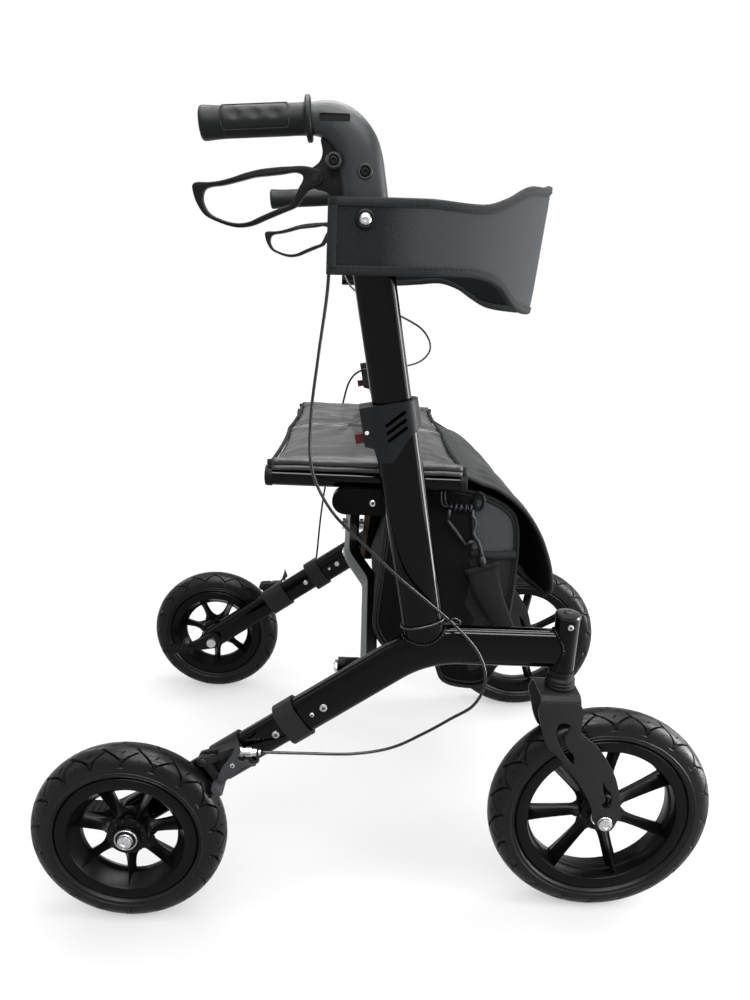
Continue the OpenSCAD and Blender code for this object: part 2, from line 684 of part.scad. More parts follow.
// Height of the backrest's lower and upper edges along the object
module band_outline() {
    low = band_z - band_h / 2;
    high = band_z + band_h / 2;
    front_low = band_front_z - band_front_h / 2;
    front_high = band_front_z + band_front_h / 2;
    polygon([[band_x - band_tail, low], [band_x + 60, low + 4], [band_x + 120, low - 6],
        [band_x + 165, front_low], [band_x + 260, front_low], [band_x + 260, front_high],
        [band_x + 190, front_high], [band_x + 130, high + 28], [band_x + 90, high + 4], [band_x, high],
        [band_x - band_tail, high]]);
}

// Plan of half of the band, a quarter of an oval from the handle to the middle
module band_plan() {
    steps = 16;
    polygon(concat([for (i = [0 : steps]) [band_x + band_reach * cos(90 * i / steps), band_y * sin(90 * i / steps)]],
        [for (i = [steps : -1 : 0]) [band_x + (band_reach - band_t) * cos(90 * i / steps),
            (band_y - band_t) * sin(90 * i / steps)]]));
}

module backrest(s) color([0.13, 0.14, 0.15]) on_side(s) intersection() {
    linear_extrude(2 * band_z) difference() {
        band_plan();
        translate([band_x - band_tail, -band_gap]) square([4 * band_tail, 2 * band_gap]);
        translate([band_x - band_tail, 0]) square([band_tail + part_gap, 2 * band_y]);
    }
    translate([0, band_y / 2, 0]) plate(2 * band_y) band_outline();
}

// End of the band on the outside of the handle, with its bolt
module backrest_end(s) color([0.13, 0.14, 0.15]) on_side(s) {
    translate([band_x - band_tail, band_y - band_t, band_z - band_h / 2]) cube([band_tail, band_t, band_h]);
    in_column() translate([0, 0, band_bolt]) rod_y(boss_r / 2, post_w / 2 + seat_gap, post_w / 2 + boss_r - 2);
    translate([snap_x, band_y - past, snap_z]) rod_y(boss_r / 2, 0, 4);
}

// Flat tube along z with a sideways step, from the lower pivot to the rail
module stepped_leg(step) {
    if (step == 0) linear_extrude(leg_stop) leg_section(0);
    else {
        linear_extrude(step_from) leg_section(0);
        translate([-step_r, 0, step_from]) rotate([90, 0, 0])
            rotate([0, 0, -bend_lap]) bend(step_r, step_a + 2 * bend_lap) leg_section(fuller);
        translate([-step_out, 0, step_from + step_r * sin(step_a)]) rotate([0, -step_a, 0])
            linear_extrude(step_run) leg_section(0);
        translate([step_r - step, 0, step_from + step_len]) rotate([90, 0, 0])
            rotate([0, 0, 180 - bend_lap]) bend(step_r, step_a + 2 * bend_lap) leg_section(fuller);
        translate([-step, 0, step_from + step_len]) linear_extrude(leg_stop - step_from - step_len) leg_section(0);
    }
}
module leg_section(grow) square([leg_w + grow, leg_d + grow], center = true);

// Places along a cross leg that starts on the right: z from its pivot to its rail
module on_brace() translate([pivot_x, -pivot_y, pivot_z]) rotate([leg_phi - 90, 0, 0]) children();

module brace(step) difference() {
    union() {
        on_brace() stepped_leg(step);
        translate([pivot_x, -pivot_y, pivot_z]) rod_x(boss_r, fuller - leg_w / 2, leg_w / 2 - fuller);
    }
    translate([pivot_x, -pivot_y, pivot_z]) rod_x(pin_r + run_gap, -leg_w, leg_w);
    on_brace() translate([0, 0, cross_len]) rod_x(pin_r + run_gap, -3 * leg_w, leg_w);
    translate([rails_x, rail_y, rail_z]) rod_x(rail_r + run_gap, -rail_len, rail_len);
}

// The right leg stands on the right side frame and carries the left rail
module cross_leg_right() color([0.05, 0.05, 0.055]) brace(leg_step);

module cross_leg_left() color([0.17, 0.13, 0.1]) mirror([0, 1, 0]) brace(0);

module cross_pivot() color([0.75, 0.75, 0.77]) on_brace() translate([0, 0, cross_len]) {
    back = -leg_step - leg_w / 2;
    rod_x(pin_r, back - 3, leg_w / 2 + 4);
    rod_x(pin_r + 4, back - 5, back - seat_gap);
    rod_x(pin_r + 4, leg_w / 2 + part_gap, leg_w / 2 + 6);
    difference() {
        rod_x(pin_r + 4, leg_w / 2 - leg_step + part_gap, -leg_w / 2 - part_gap);
        rod_x(pin_r + run_gap, -leg_step, 0);
    }
}

// Seat rail with plugs in its ends
module seat_rail(s) color([0.04, 0.04, 0.045]) on_side(s) translate([rails_x, rail_y, rail_z]) {
    rod_x(rail_r, -rail_len / 2, rail_len / 2);
    for (m = [0, 1]) mirror([m, 0, 0]) rod_x(rail_r + 0.8, rail_len / 2 - 4, rail_len / 2);
}

// Half of the seat: a crowned pad with drawn-in ends and a sleeve over the rail
module seat(s) color([0.16, 0.17, 0.18]) on_side(s) {
    pad_len = rail_len - 14;
    pad_from = rail_z + 8;
    pad_top = pad_from + pad_edge + pad_crown;
    inner = rail_y - rail_r;
    width = inner - pad_gap;
    pad_flat = 2;
    sleeve_r = rail_r + 3;
    crown_x = (pow(pad_len / 2, 2) + pow(pad_crown, 2)) / (2 * pad_crown);
    crown_y = (pow(width / 2 + pad_flat, 2) + pow(pad_crown, 2)) / (2 * pad_crown);
    draw_r = (pow(width / 2, 2) + pow(pad_draw, 2)) / (2 * pad_draw);
    difference() {
        union() {
            intersection() {
                translate([rails_x - pad_len / 2, pad_gap, pad_from])
                    cube([pad_len, width + 4, pad_edge + pad_crown]);
                translate([rails_x, 0, pad_top + pad_flat - crown_x]) rotate([-90, 0, 0])
                    cylinder(r = crown_x, h = rail_y, $fn = 256);
                translate([rails_x - pad_len, pad_gap + width / 2, pad_top - crown_y]) rotate([0, 90, 0])
                    cylinder(r = crown_y, h = 2 * pad_len, $fn = 256);
            }
            intersection() {
                translate([rails_x, rail_y, rail_z]) rod_x(sleeve_r, -pad_len / 2, pad_len / 2);
                translate([rails_x - pad_len, rail_y - 2 * rail_r, rail_z + 5]) cube([2 * pad_len, 3.4 * rail_r, 40]);
            }
        }
        translate([rails_x, rail_y, rail_z]) rod_x(rail_r + slide_gap, -rail_len, rail_len);
        for (m = [-1, 1]) translate([rails_x + m * (pad_len / 2 - pad_draw + draw_r), pad_gap + width / 2, pad_from - past])
            cylinder(r = draw_r, h = 60, $fn = 256);
    }
}

// Side outline of the bag, and of its lid with a front that flares away
module bag_outline() polygon([[-4, 372], [6, 354], [24, 345], [72, 342], [74, bag_z + 14], [86, bag_z],
    [138, bag_z], [152, bag_z + 14], [164, 380], [168, 430], [170, 540], [158, 570], [128, 588], [92, 595],
    [10, 595], [-4, 580]]);

module bag_body() color([0.05, 0.05, 0.055]) translate([frame_x, 0, 0]) plate(2 * bag_y) bag_outline();

module bag_flap() color([0.09, 0.095, 0.1]) translate([frame_x, 0, 0]) plate(2 * bag_y + 14)
    polygon([[92, 604], [135, 597], [162, 580], [182, 554], [206, 504], [218, 450], [213, 449], [201, 502],
    [177, 551], [157, 574], [129, 588.4], [92, 595.3]]);

// Webbing straps on the bag's sides with their snap hooks
module bag_strap() color([0.06, 0.06, 0.065]) for (s = [-1, 1]) on_side(s) {
    side = bag_y + seat_gap;
    translate([frame_x, side + 1.5, 0]) plate(3) polygon([[102, 466], [142, 484], [178, 388], [140, 372]]);
    translate([frame_x + 122, side + 2.5, 474]) rotate([0, -13, 0]) translate([0, 0, 5]) cylinder(r = 2.5, h = 70);
}

// Points of a smooth curve through a route
function spline(p, i, t) = let (a = p[max(i - 1, 0)], b = p[i], c = p[i + 1], d = p[min(i + 2, len(p) - 1)])
    b + t * (c - a) / 2 + t * t * (a - 2.5 * b + 2 * c - d / 2) + t * t * t * ((d - a) / 2 + 1.5 * (b - c));
function smooth(p, k) = concat([for (i = [0 : len(p) - 2], j = [0 : k - 1]) spline(p, i, j / k)], [p[len(p) - 1]]);
function unit(v) = v / norm(v);
function heading(p, i) = unit(p[min(i + 1, len(p) - 1)] - p[max(i - 1, 0)]);

// Round cord swept along points that keep clear of the Y direction
module cord(p, r, sides) {
    rings = [for (i = [0 : len(p) - 1]) let (d = heading(p, i), u = unit(cross(d, [0, 1, 0])), v = cross(u, d))
        for (k = [0 : sides - 1]) p[i] + r * (u * cos(360 * k / sides) + v * sin(360 * k / sides))];
    last = (len(p) - 1) * sides;
    polyhedron(rings, concat(
        [for (k = [1 : sides - 2]) [0, k, k + 1]],
        [for (k = [1 : sides - 2]) [last, last + k + 1, last + k]],
        [for (i = [0 : len(p) - 2], k = [0 : sides - 1]) let (a = i * sides + k, b = i * sides + (k + 1) % sides)
            each [[a, a + sides, b], [b, a + sides, b + sides]]]));
}

module brake_cable(s) color([0.02, 0.02, 0.02]) cord(smooth(s > 0 ? left_route : right_route, 2), cable_r, 8);

side_frame(-1);  // side_frame_right
side_frame(1);  // side_frame_left
column(-1);  // column_right
column(1);  // column_left
rear_leg(-1);  // rear_leg_right
rear_leg(1);  // rear_leg_left
leg_collars(-1);  // leg_collars_right
leg_collars(1);  // leg_collars_left
lock_collar(-1);  // lock_collar_right
lock_collar(1);  // lock_collar_left
lock_button(-1);  // lock_button_right
lock_button(1);  // lock_button_left
saddle(-1);  // saddle_right
saddle(1);  // saddle_left
brake_cable(-1);  // brake_cable_right
brake_cable(1);  // brake_cable_left
frame_bolts(-1);  // frame_bolts_right
frame_bolts(1);  // frame_bolts_left
rear_axle(-1);  // rear_axle_right
rear_axle(1);  // rear_axle_left
foot_pedal(-1);  // foot_pedal_right
foot_pedal(1);  // foot_pedal_left
headset(-1);  // headset_right
headset(1);  // headset_left
fork(-1);  // fork_right
fork(1);  // fork_left
front_axle(-1);  // front_axle_right
front_axle(1);  // front_axle_left
front_rim(-1);  // front_rim_right
front_rim(1);  // front_rim_left
front_tyre(-1);  // front_tyre_right
front_tyre(1);  // front_tyre_left
rear_rim(-1);  // rear_rim_right
rear_rim(1);  // rear_rim_left
rear_tyre(-1);  // rear_tyre_right
rear_tyre(1);  // rear_tyre_left
brake_arm(-1);  // brake_arm_right
brake_arm(1);  // brake_arm_left
handle_post(-1);  // handle_post_right
handle_post(1);  // handle_post_left
handle_elbow(-1);  // handle_elbow_right
handle_elbow(1);  // handle_elbow_left
grip(-1);  // grip_right
grip(1);  // grip_left
brake_lever(-1);  // brake_lever_right
brake_lever(1);  // brake_lever_left
backrest_end(-1);  // backrest_end_right
backrest_end(1);  // backrest_end_left
backrest(-1);  // backrest_right
backrest(1);  // backrest_left
cross_leg_right();
cross_leg_left();
cross_pivot();
seat_rail(-1);  // seat_rail_right
seat_rail(1);  // seat_rail_left
seat(-1);  // seat_right
seat(1);  // seat_left
bag_body();
bag_flap();
bag_strap();
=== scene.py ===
import json
from math import acos, atan2, copysign, cos, degrees, exp, hypot, pi, radians, sin, sqrt, tan
import bmesh
import bpy
import numpy as np
from mathutils import Matrix, Vector, noise


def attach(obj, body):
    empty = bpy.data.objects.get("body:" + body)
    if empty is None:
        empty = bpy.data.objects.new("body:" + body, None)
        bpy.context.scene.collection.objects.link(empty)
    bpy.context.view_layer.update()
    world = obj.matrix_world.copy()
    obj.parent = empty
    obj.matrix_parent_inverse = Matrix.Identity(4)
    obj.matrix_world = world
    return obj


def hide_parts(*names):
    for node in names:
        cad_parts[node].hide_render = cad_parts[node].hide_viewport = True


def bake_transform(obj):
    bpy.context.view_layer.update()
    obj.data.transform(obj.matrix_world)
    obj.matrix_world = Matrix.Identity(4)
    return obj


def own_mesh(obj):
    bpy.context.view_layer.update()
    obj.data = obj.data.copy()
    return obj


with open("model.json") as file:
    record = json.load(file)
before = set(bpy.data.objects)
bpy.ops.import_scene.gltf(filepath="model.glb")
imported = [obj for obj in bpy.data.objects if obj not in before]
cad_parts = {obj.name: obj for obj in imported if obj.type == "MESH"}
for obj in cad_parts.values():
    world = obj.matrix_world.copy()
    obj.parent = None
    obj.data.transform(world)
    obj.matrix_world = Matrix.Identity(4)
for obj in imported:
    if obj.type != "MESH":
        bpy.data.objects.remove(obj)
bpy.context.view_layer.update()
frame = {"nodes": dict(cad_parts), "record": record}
nodes = frame["nodes"]
scene = bpy.context.scene
sides = {"right": -1, "left": 1}   # the right side is the one near the camera

# camera, from the photograph's own perspective
cameraSet = {
    "focalPx": 728.1, "pitch": 15.48, "yaw": 1.748, "roll": 2.735, "place": (-0.0507, -1.1133, 0.8145),
}


def makeCamera(s):
    pitch, yaw, roll = (radians(s[k]) for k in ("pitch", "yaw", "roll"))
    ahead = Vector((sin(yaw) * cos(pitch), cos(yaw) * cos(pitch), -sin(pitch)))
    across = Vector((cos(yaw), -sin(yaw), 0))
    upward = across.cross(ahead)
    right = across * cos(roll) + upward * sin(roll)
    up = upward * cos(roll) - across * sin(roll)
    data = bpy.data.cameras.new("photoCamera")
    data.sensor_fit = "VERTICAL"
    data.sensor_height = 36.0
    data.lens = 36.0 * s["focalPx"] / 1000.0   # image is 750 x 1000
    data.clip_end = 60
    cam = bpy.data.objects.new("photoCamera", data)
    turn = Matrix((right, up, -ahead)).transposed().to_4x4()
    cam.matrix_world = Matrix.Translation(s["place"]) @ turn
    scene.collection.objects.link(cam)
    scene.camera = cam


makeCamera(cameraSet)

# small builders used by every piece


def shadeSmooth(obj):
    faces = obj.data.polygons
    faces.foreach_set("use_smooth", [True] * len(faces))
    return obj


def addMesh(name, verts, faces, mat, side=1):
    verts = [(v[0], v[1] * side, v[2]) for v in verts]
    if side < 0:
        faces = [tuple(reversed(f)) for f in faces]
    mesh = bpy.data.meshes.new(name)
    mesh.from_pydata(verts, [], faces)
    mesh.validate()
    mesh.materials.append(mat)
    obj = bpy.data.objects.new(name, mesh)
    scene.collection.objects.link(obj)
    return shadeSmooth(obj)


def faceOut(obj, weld=0.0):
    bm = bmesh.new()
    bm.from_mesh(obj.data)
    if weld:
        bmesh.ops.remove_doubles(bm, verts=bm.verts, dist=weld)
    bmesh.ops.recalc_face_normals(bm, faces=bm.faces)
    bm.to_mesh(obj.data)
    bm.free()
    return obj


def paintFaces(obj, others, pick):
    for mat in others:
        obj.data.materials.append(mat)
    bm = bmesh.new()
    bm.from_mesh(obj.data)
    bmesh.ops.recalc_face_normals(bm, faces=bm.faces)
    for face in bm.faces:
        face.material_index = pick(face.calc_center_median(), face.normal)
    bm.to_mesh(obj.data)
    bm.free()
    return obj


def flip(obj):
    bm = bmesh.new()
    bm.from_mesh(obj.data)
    for v in bm.verts:
        v.co.y = -v.co.y
    bmesh.ops.reverse_faces(bm, faces=bm.faces)
    bm.to_mesh(obj.data)
    bm.free()
    return obj


def applyModifiers(obj):
    graph = bpy.context.evaluated_depsgraph_get()
    fresh = bpy.data.meshes.new_from_object(obj.evaluated_get(graph))
    obj.modifiers.clear()
    old = obj.data
    obj.data = fresh
    bpy.data.meshes.remove(old)
    return obj


def bevelEdges(obj, width, segments=2, angle=35, apply=True):
    mod = obj.modifiers.new("edge", "BEVEL")
    mod.width = width
    mod.segments = segments
    mod.limit_method = "ANGLE"
    mod.angle_limit = radians(angle)
    mod.harden_normals = False
    return applyModifiers(obj) if apply else obj


def subdivide(obj):
    mod = obj.modifiers.new("smooth", "SUBSURF")
    mod.levels = mod.render_levels = 1
    return applyModifiers(obj)


def sharpBy(obj, angle=40):
    mesh = shadeSmooth(obj).data
    bm = bmesh.new()
    bm.from_mesh(mesh)
    for e in bm.edges:
        e.smooth = len(e.link_faces) == 2 and e.calc_face_angle(0) < radians(angle)
    bm.to_mesh(mesh)
    bm.free()
    return obj


def joinMeshes(name, objs, side=1):
    bm = bmesh.new()
    mats = []
    for o in objs:
        start = len(bm.faces)
        bm.from_mesh(o.data)
        bm.faces.ensure_lookup_table()
        for f in bm.faces[start:]:
            mat = o.data.materials[f.material_index] if o.data.materials else None
            if mat not in mats:
                mats.append(mat)
            f.material_index = mats.index(mat)
    mesh = bpy.data.meshes.new(name)
    bm.to_mesh(mesh)
    bm.free()
    for m in mats:
        mesh.materials.append(m)
    for o in objs:
        old = o.data
        bpy.data.objects.remove(o)
        bpy.data.meshes.remove(old)
    obj = bpy.data.objects.new(name, mesh)
    scene.collection.objects.link(obj)
    return flip(obj) if side < 0 else obj


def loftRings(rings, closed=True, caps=True):
    verts = [tuple(p) for r in rings for p in r]
    n = len(rings[0])
    faces = []
    for i in range(len(rings) - 1):
        for k in range(n if closed else n - 1):
            a, b = i * n + k, i * n + (k + 1) % n
            faces.append((a, b, b + n, a + n))
    if caps:
        last = (len(rings) - 1) * n
        faces.append(tuple(reversed(range(n))))
        faces.append(tuple(range(last, last + n)))
    return verts, faces


def addLoft(name, rings, mat, **ends):
    return addMesh(name, *loftRings(rings, **ends), mat)


def headingAt(path, i):
    return (Vector(path[min(i + 1, len(path) - 1)]) - Vector(path[max(i - 1, 0)])).normalized()


def lengthsAlong(points):
    run = [0.0]
    for a, b in zip(points, points[1:]):
        run.append(run[-1] + (b - a).length)
    return run


def tubeRings(points, radius, around, flat=1.0, flatAxis=None):
    pts = [Vector(p) for p in points]
    rings = []
    ref = Vector(flatAxis) if flatAxis else None
    for i, p in enumerate(pts):
        d = headingAt(pts, i)
        if ref is None:
            ref = Vector((0, 0, 1)) if abs(d.z) < 0.8 else Vector((0, 1, 0))
        u = (ref - d * ref.dot(d)).normalized()
        if not flatAxis:
            ref = u
        v = d.cross(u)
        r = radius[i] if isinstance(radius, (list, tuple)) else radius
        turns = [2 * pi * k / around for k in range(around)]
        rings.append([p + u * (r * flat * cos(t)) + v * (r * sin(t)) for t in turns])
    return rings


def addTube(name, points, radius, mat, around, caps=True, **shape):
    return addLoft(name, tubeRings(points, radius, around, **shape), mat, caps=caps)


def between(p, q, r, v, t):
    # a smooth curve from q to r
    return (q + (r - p) * (t / 2) + (p - q * 2.5 + r * 2 - v * 0.5) * t * t
        + ((v - p) * 0.5 + (q - r) * 1.5) * t ** 3)


def smoothLine(points, steps=6, closed=False):
    pts = [Vector(p) for p in points]
    n = len(pts)
    out = []
    for i in range(n if closed else n - 1):
        if closed:
            four = [pts[(i + k - 1) % n] for k in range(4)]
        else:
            four = [pts[max(i - 1, 0)], pts[i], pts[i + 1], pts[min(i + 2, n - 1)]]
        out += [between(*four, k / steps) for k in range(steps)]
    if not closed:
        out.append(pts[-1])
    return out


def flatLoop(points, steps):
    return [tuple(p)[:2] for p in smoothLine([(x, z, 0) for x, z in points], steps, True)]


def fineRings(rings, steps):
    fine = []
    for four in zip([rings[0]] + rings[:-2], rings[:-1], rings[1:], rings[2:] + [rings[-1]]):
        for k in range(steps):
            fine.append([between(*points, k / steps) for points in zip(*four)])
    return fine + [rings[-1]]


def inMetres(rows):
    return [(r / 1000, a / 1000) for r, a in rows]


def rodProfile(r, low, high):
    return [(0.0, low), (r, low), (r, high), (0.0, high)]


def signedPower(c, power):
    return copysign(abs(c) ** power, c)


def lathe(name, profile, segments, axisPoint, mat, axis=(0, 1, 0), closed=False, side=1):
    axis = Vector(axis).normalized()
    u = axis.cross(Vector((0, 0, 1)) if abs(axis.z) < 0.9 else Vector((1, 0, 0))).normalized()
    v = axis.cross(u)
    c = Vector(axisPoint)
    n = len(profile)
    verts, faces = [], []
    for i in range(segments):
        t = 2 * pi * i / segments
        d = u * cos(t) + v * sin(t)
        verts += [tuple(c + axis * a + d * r) for r, a in profile]
        j = (i + 1) % segments
        for k in range(n if closed else n - 1):
            m = (k + 1) % n
            faces.append((i * n + k, j * n + k, j * n + m, i * n + m))
    obj = addMesh(name, verts, faces, mat, side=side)
    return sharpBy(faceOut(obj, 1e-7), 32)


def prism(name, outline, depth, place, mat, holes=(), bevel=0.0):
    curve = bpy.data.curves.new(name, "CURVE")
    curve.dimensions = "2D"
    curve.fill_mode = "BOTH"
    curve.extrude = depth / 2 - bevel
    curve.bevel_depth = bevel
    curve.bevel_resolution = 2
    curve.offset = -bevel
    for line in [outline, *holes]:
        spline = curve.splines.new("POLY")
        spline.points.add(len(line) - 1)
        for q, p in zip(spline.points, line):
            q.co = (p[0], p[1], 0, 1)
        spline.use_cyclic_u = True
    holder = bpy.data.objects.new(name + "Curve", curve)
    scene.collection.objects.link(holder)
    graph = bpy.context.evaluated_depsgraph_get()
    mesh = bpy.data.meshes.new_from_object(holder.evaluated_get(graph))
    bpy.data.objects.remove(holder)
    bpy.data.curves.remove(curve)
    verts = [place(v.co) for v in mesh.vertices]
    faces = [tuple(p.vertices) for p in mesh.polygons]
    bpy.data.meshes.remove(mesh)
    return sharpBy(faceOut(addMesh(name, verts, faces, mat), 2e-6), 38)


def stitchRow(points, normals, length=0.0036, gap=0.0022, width=0.0009, lift=0.0005):
    verts, faces = [], []
    pts = [Vector(p) for p in points]
    run = lengthsAlong(pts)
    at = gap
    while at + length < run[-1]:
        ends = []
        for s in (at, at + length):
            i = max(k for k in range(len(run) - 1) if run[k] <= s)
            t = (s - run[i]) / max(run[i + 1] - run[i], 1e-9)
            ends.append((pts[i].lerp(pts[i + 1], t), Vector(normals[i]).lerp(Vector(normals[i + 1]),
                t).normalized()))
        (p, n), (q, m) = ends
        d = (q - p).normalized()
        w = d.cross(n).normalized() * width / 2
        mid = (p + q) / 2 + n * lift
        base = len(verts)
        flat = d * length * 0.22
        verts += [p - n * 0.0002, q - m * 0.0002, mid + w - flat, mid + w + flat, mid - w - flat,
            mid - w + flat]
        faces += [(base, base + 2, base + 4), (base + 2, base + 3, base + 5, base + 4),
            (base + 1, base + 5, base + 3)]
        at += length + gap
    return verts, faces


# places in a column's own frame: z along the column, y outwards, x forwards
columnFrame = {"foot": (0.049, 0.264, 0.391), "lean": 11.0, "splay": 3.0}
columnTurn = Matrix.Translation(columnFrame["foot"])
columnTurn = columnTurn @ Matrix.Rotation(radians(-columnFrame["lean"]), 4, "Y")
columnTurn = columnTurn @ Matrix.Rotation(radians(-columnFrame["splay"]), 4, "X")


def inColumn(p):
    return columnTurn @ Vector(metres(*p))   # millimetres in


def mm(*p):
    return Vector(p) / 1000


def metres(x, y, z):
    return x / 1000, y / 1000, z / 1000


print("camera and builders ready")

# materials, all procedural, in the object's own metres


def newMaterial(name, base, rough, metal=0.0, gloss=0.09):
    mat = bpy.data.materials.new(name)
    mat.use_nodes = True
    shader = mat.node_tree.nodes["Principled BSDF"]
    shader.inputs["Base Color"].default_value = (*base, 1)
    shader.inputs["Roughness"].default_value = rough
    shader.inputs["Metallic"].default_value = metal
    shader.inputs["Specular IOR Level"].default_value = gloss if metal == 0 else 0.5
    mat.diffuse_color = (*base, 1)
    return mat, mat.node_tree, shader, places(mat.node_tree)


def addNode(tree, kind, settings=None, **links):
    n = tree.nodes.new(kind)
    for k, v in (settings or {}).items():
        if k in n.inputs:
            n.inputs[k].default_value = v
        else:
            setattr(n, k, v)
    for k, v in links.items():
        tree.links.new(v, n.inputs[k])
    return n


def calc(tree, operation, first, second):
    n = addNode(tree, "ShaderNodeMath", {"operation": operation})
    tree.links.new(first, n.inputs[0])
    tree.links.new(second, n.inputs[1])
    return n.outputs[0]


def voronoiAt(tree, where, settings):
    return addNode(tree, "ShaderNodeTexVoronoi", settings, Vector=where).outputs["Distance"]


def waveAt(tree, where, settings):
    return addNode(tree, "ShaderNodeTexWave", settings, Vector=where).outputs["Fac"]


def partOf(tree, vector, axis):
    return addNode(tree, "ShaderNodeSeparateXYZ", Vector=vector).outputs[axis]


def places(tree, stretch=(1, 1, 1)):
    coord = addNode(tree, "ShaderNodeTexCoord")
    return addNode(tree, "ShaderNodeMapping", {"Scale": stretch}, Vector=coord.outputs["Object"]).outputs[0]


def noiseAt(tree, where, scale, detail=3.0, rough=0.55):
    return addNode(tree, "ShaderNodeTexNoise", {"Scale": scale, "Detail": detail, "Roughness": rough},
        Vector=where).outputs["Fac"]


def spread(tree, value, low, high, fromLow=0.3, fromHigh=0.7):
    return addNode(tree, "ShaderNodeMapRange", {"From Min": fromLow, "From Max": fromHigh, "To Min": low,
        "To Max": high}, Value=value).outputs[0]


def shade(base, share):
    return tuple(c * share for c in base)


def tintBy(tree, shader, factor, first, second):
    n = addNode(tree, "ShaderNodeMix", {"data_type": "RGBA"})
    tree.links.new(factor, n.inputs[0])
    n.inputs[6].default_value = (*first, 1)
    n.inputs[7].default_value = (*second, 1)
    tree.links.new(n.outputs[2], shader.inputs["Base Color"])


def roughBy(tree, shader, value, low, high):
    tree.links.new(spread(tree, value, low, high), shader.inputs["Roughness"])


def bumpFrom(tree, shader, height, depth, strength=1.0, over=None):
    n = addNode(tree, "ShaderNodeBump", {"Strength": strength, "Distance": depth}, Height=height)
    if over is not None:
        tree.links.new(over.outputs[0], n.inputs["Normal"])
    tree.links.new(n.outputs[0], shader.inputs["Normal"])
    return n


def paintMaterial(name, base, rough, gloss, peel=0.00004, dust=0.05):
    mat, tree, shader, where = newMaterial(name, base, rough, 0.0, gloss)
    roughBy(tree, shader, noiseAt(tree, where, 9, 4), rough - dust * 0.4, rough + dust)
    tintBy(tree, shader, noiseAt(tree, where, 14, 2), base, shade(base, 1.35))
    bumpFrom(tree, shader, noiseAt(tree, where, 420, 2), peel, 0.35)
    return mat


def legMaterial(name, front, rear, gloss):
    mat, tree, shader, where = newMaterial(name, front, 0.36, 0.0, gloss)
    # faces turned to the rear (normal towards -X) take the second colour: painted light, standing in for the
    # reflection or the shade on that side of the leg
    paintedLightSide = partOf(tree, addNode(tree, "ShaderNodeTexCoord").outputs["Normal"], "X")
    tintBy(tree, shader, spread(tree, paintedLightSide, 1.0, 0.0, -0.52, -0.34), front, rear)
    roughBy(tree, shader, noiseAt(tree, where, 16, 4), 0.30, 0.42)
    bumpFrom(tree, shader, noiseAt(tree, where, 420, 2), 0.00008, 0.35)
    return mat


def plasticMaterial(name, base, rough, grain=1900, depth=0.00012, wear=0.06, gloss=0.065):
    mat, tree, shader, where = newMaterial(name, base, rough, 0.0, gloss)
    roughBy(tree, shader, noiseAt(tree, where, 30, 4), rough - wear, rough + wear)
    tintBy(tree, shader, noiseAt(tree, where, 22, 3), shade(base, 0.86), shade(base, 1.2))
    cells = voronoiAt(tree, where, {"Scale": grain, "feature": "SMOOTH_F1"})
    bumpFrom(tree, shader, cells, depth, 0.35)
    return mat


def rubberMaterial(name, base, rough, grain=900, gloss=0.09):
    mat, tree, shader, where = newMaterial(name, base, rough, 0.0, gloss)
    roughBy(tree, shader, noiseAt(tree, where, 26, 5), rough - 0.09, rough + 0.12)
    dustTint = (base[0] * 1.7 + 0.0006, base[1] * 1.6 + 0.0005, base[2] * 1.5 + 0.0005)
    tintBy(tree, shader, spread(tree, noiseAt(tree, where, 17, 6, 0.7), 0.0, 0.7), base, dustTint)
    fine = bumpFrom(tree, shader, noiseAt(tree, where, grain, 3, 0.7), 0.0002, 0.3)
    bumpFrom(tree, shader, noiseAt(tree, where, 60, 2), 0.0004, 0.12, fine)
    return mat


def steelMaterial(name, base, rough):
    mat, tree, shader, where = newMaterial(name, base, rough, 1.0)
    roughBy(tree, shader, noiseAt(tree, where, 260, 4), rough - 0.08, rough + 0.14)
    tintBy(tree, shader, noiseAt(tree, where, 190, 3), shade(base, 0.82), base)
    bumpFrom(tree, shader, noiseAt(tree, where, 1500, 2), 0.00005, 0.25)
    return mat


def leatherMaterial(name, base, rough):
    mat, tree, shader, where = newMaterial(name, base, rough, 0.0, 0.32)
    cells = voronoiAt(tree, where, {"Scale": 620, "feature": "DISTANCE_TO_EDGE"})
    grain = bumpFrom(tree, shader, spread(tree, cells, 0, 1, 0.0, 0.12), 0.00018, 0.45)
    creases = addNode(tree, "ShaderNodeTexNoise", {"Scale": 34, "Detail": 5, "Roughness": 0.62,
        "Distortion": 1.4}, Vector=places(tree, (1, 1.7, 1))).outputs["Fac"]
    bumpFrom(tree, shader, creases, 0.0035, 0.4, grain)
    roughBy(tree, shader, noiseAt(tree, where, 40, 5), rough - 0.08, rough + 0.1)
    # painted shade and highlight: the tone follows the creases, darker in their hollows and lighter on their
    # crests
    tintBy(tree, shader, spread(tree, creases, 0, 1), shade(base, 0.75), shade(base, 1.25))
    return mat


def clothMaterial(name, base, rough, thread, depth, sheen=0.25, slub=0.35, gloss=0.1):
    mat, tree, shader, where = newMaterial(name, base, rough, 0.0, gloss)
    threads = {"Scale": thread, "Distortion": 0.6, "Detail": 1.0, "Detail Scale": 2.0}
    bands = [waveAt(tree, where, {**threads, "bands_direction": axis}) for axis in "XYZ"]
    warp = calc(tree, "MULTIPLY", bands[0], bands[2])
    weft = calc(tree, "MULTIPLY", bands[1], bands[2])
    weave = calc(tree, "MAXIMUM", warp, weft)
    close = bumpFrom(tree, shader, weave, depth, 0.5)
    bumpFrom(tree, shader, noiseAt(tree, where, 55, 4), 0.0016, slub, close)
    # painted shade and highlight: the tone follows the weave's relief, darker between the threads and
    # lighter on them
    tintBy(tree, shader, weave, shade(base, 0.6), shade(base, 1.35))
    shader.inputs["Sheen Weight"].default_value = sheen
    shader.inputs["Sheen Roughness"].default_value = 0.5
    return mat


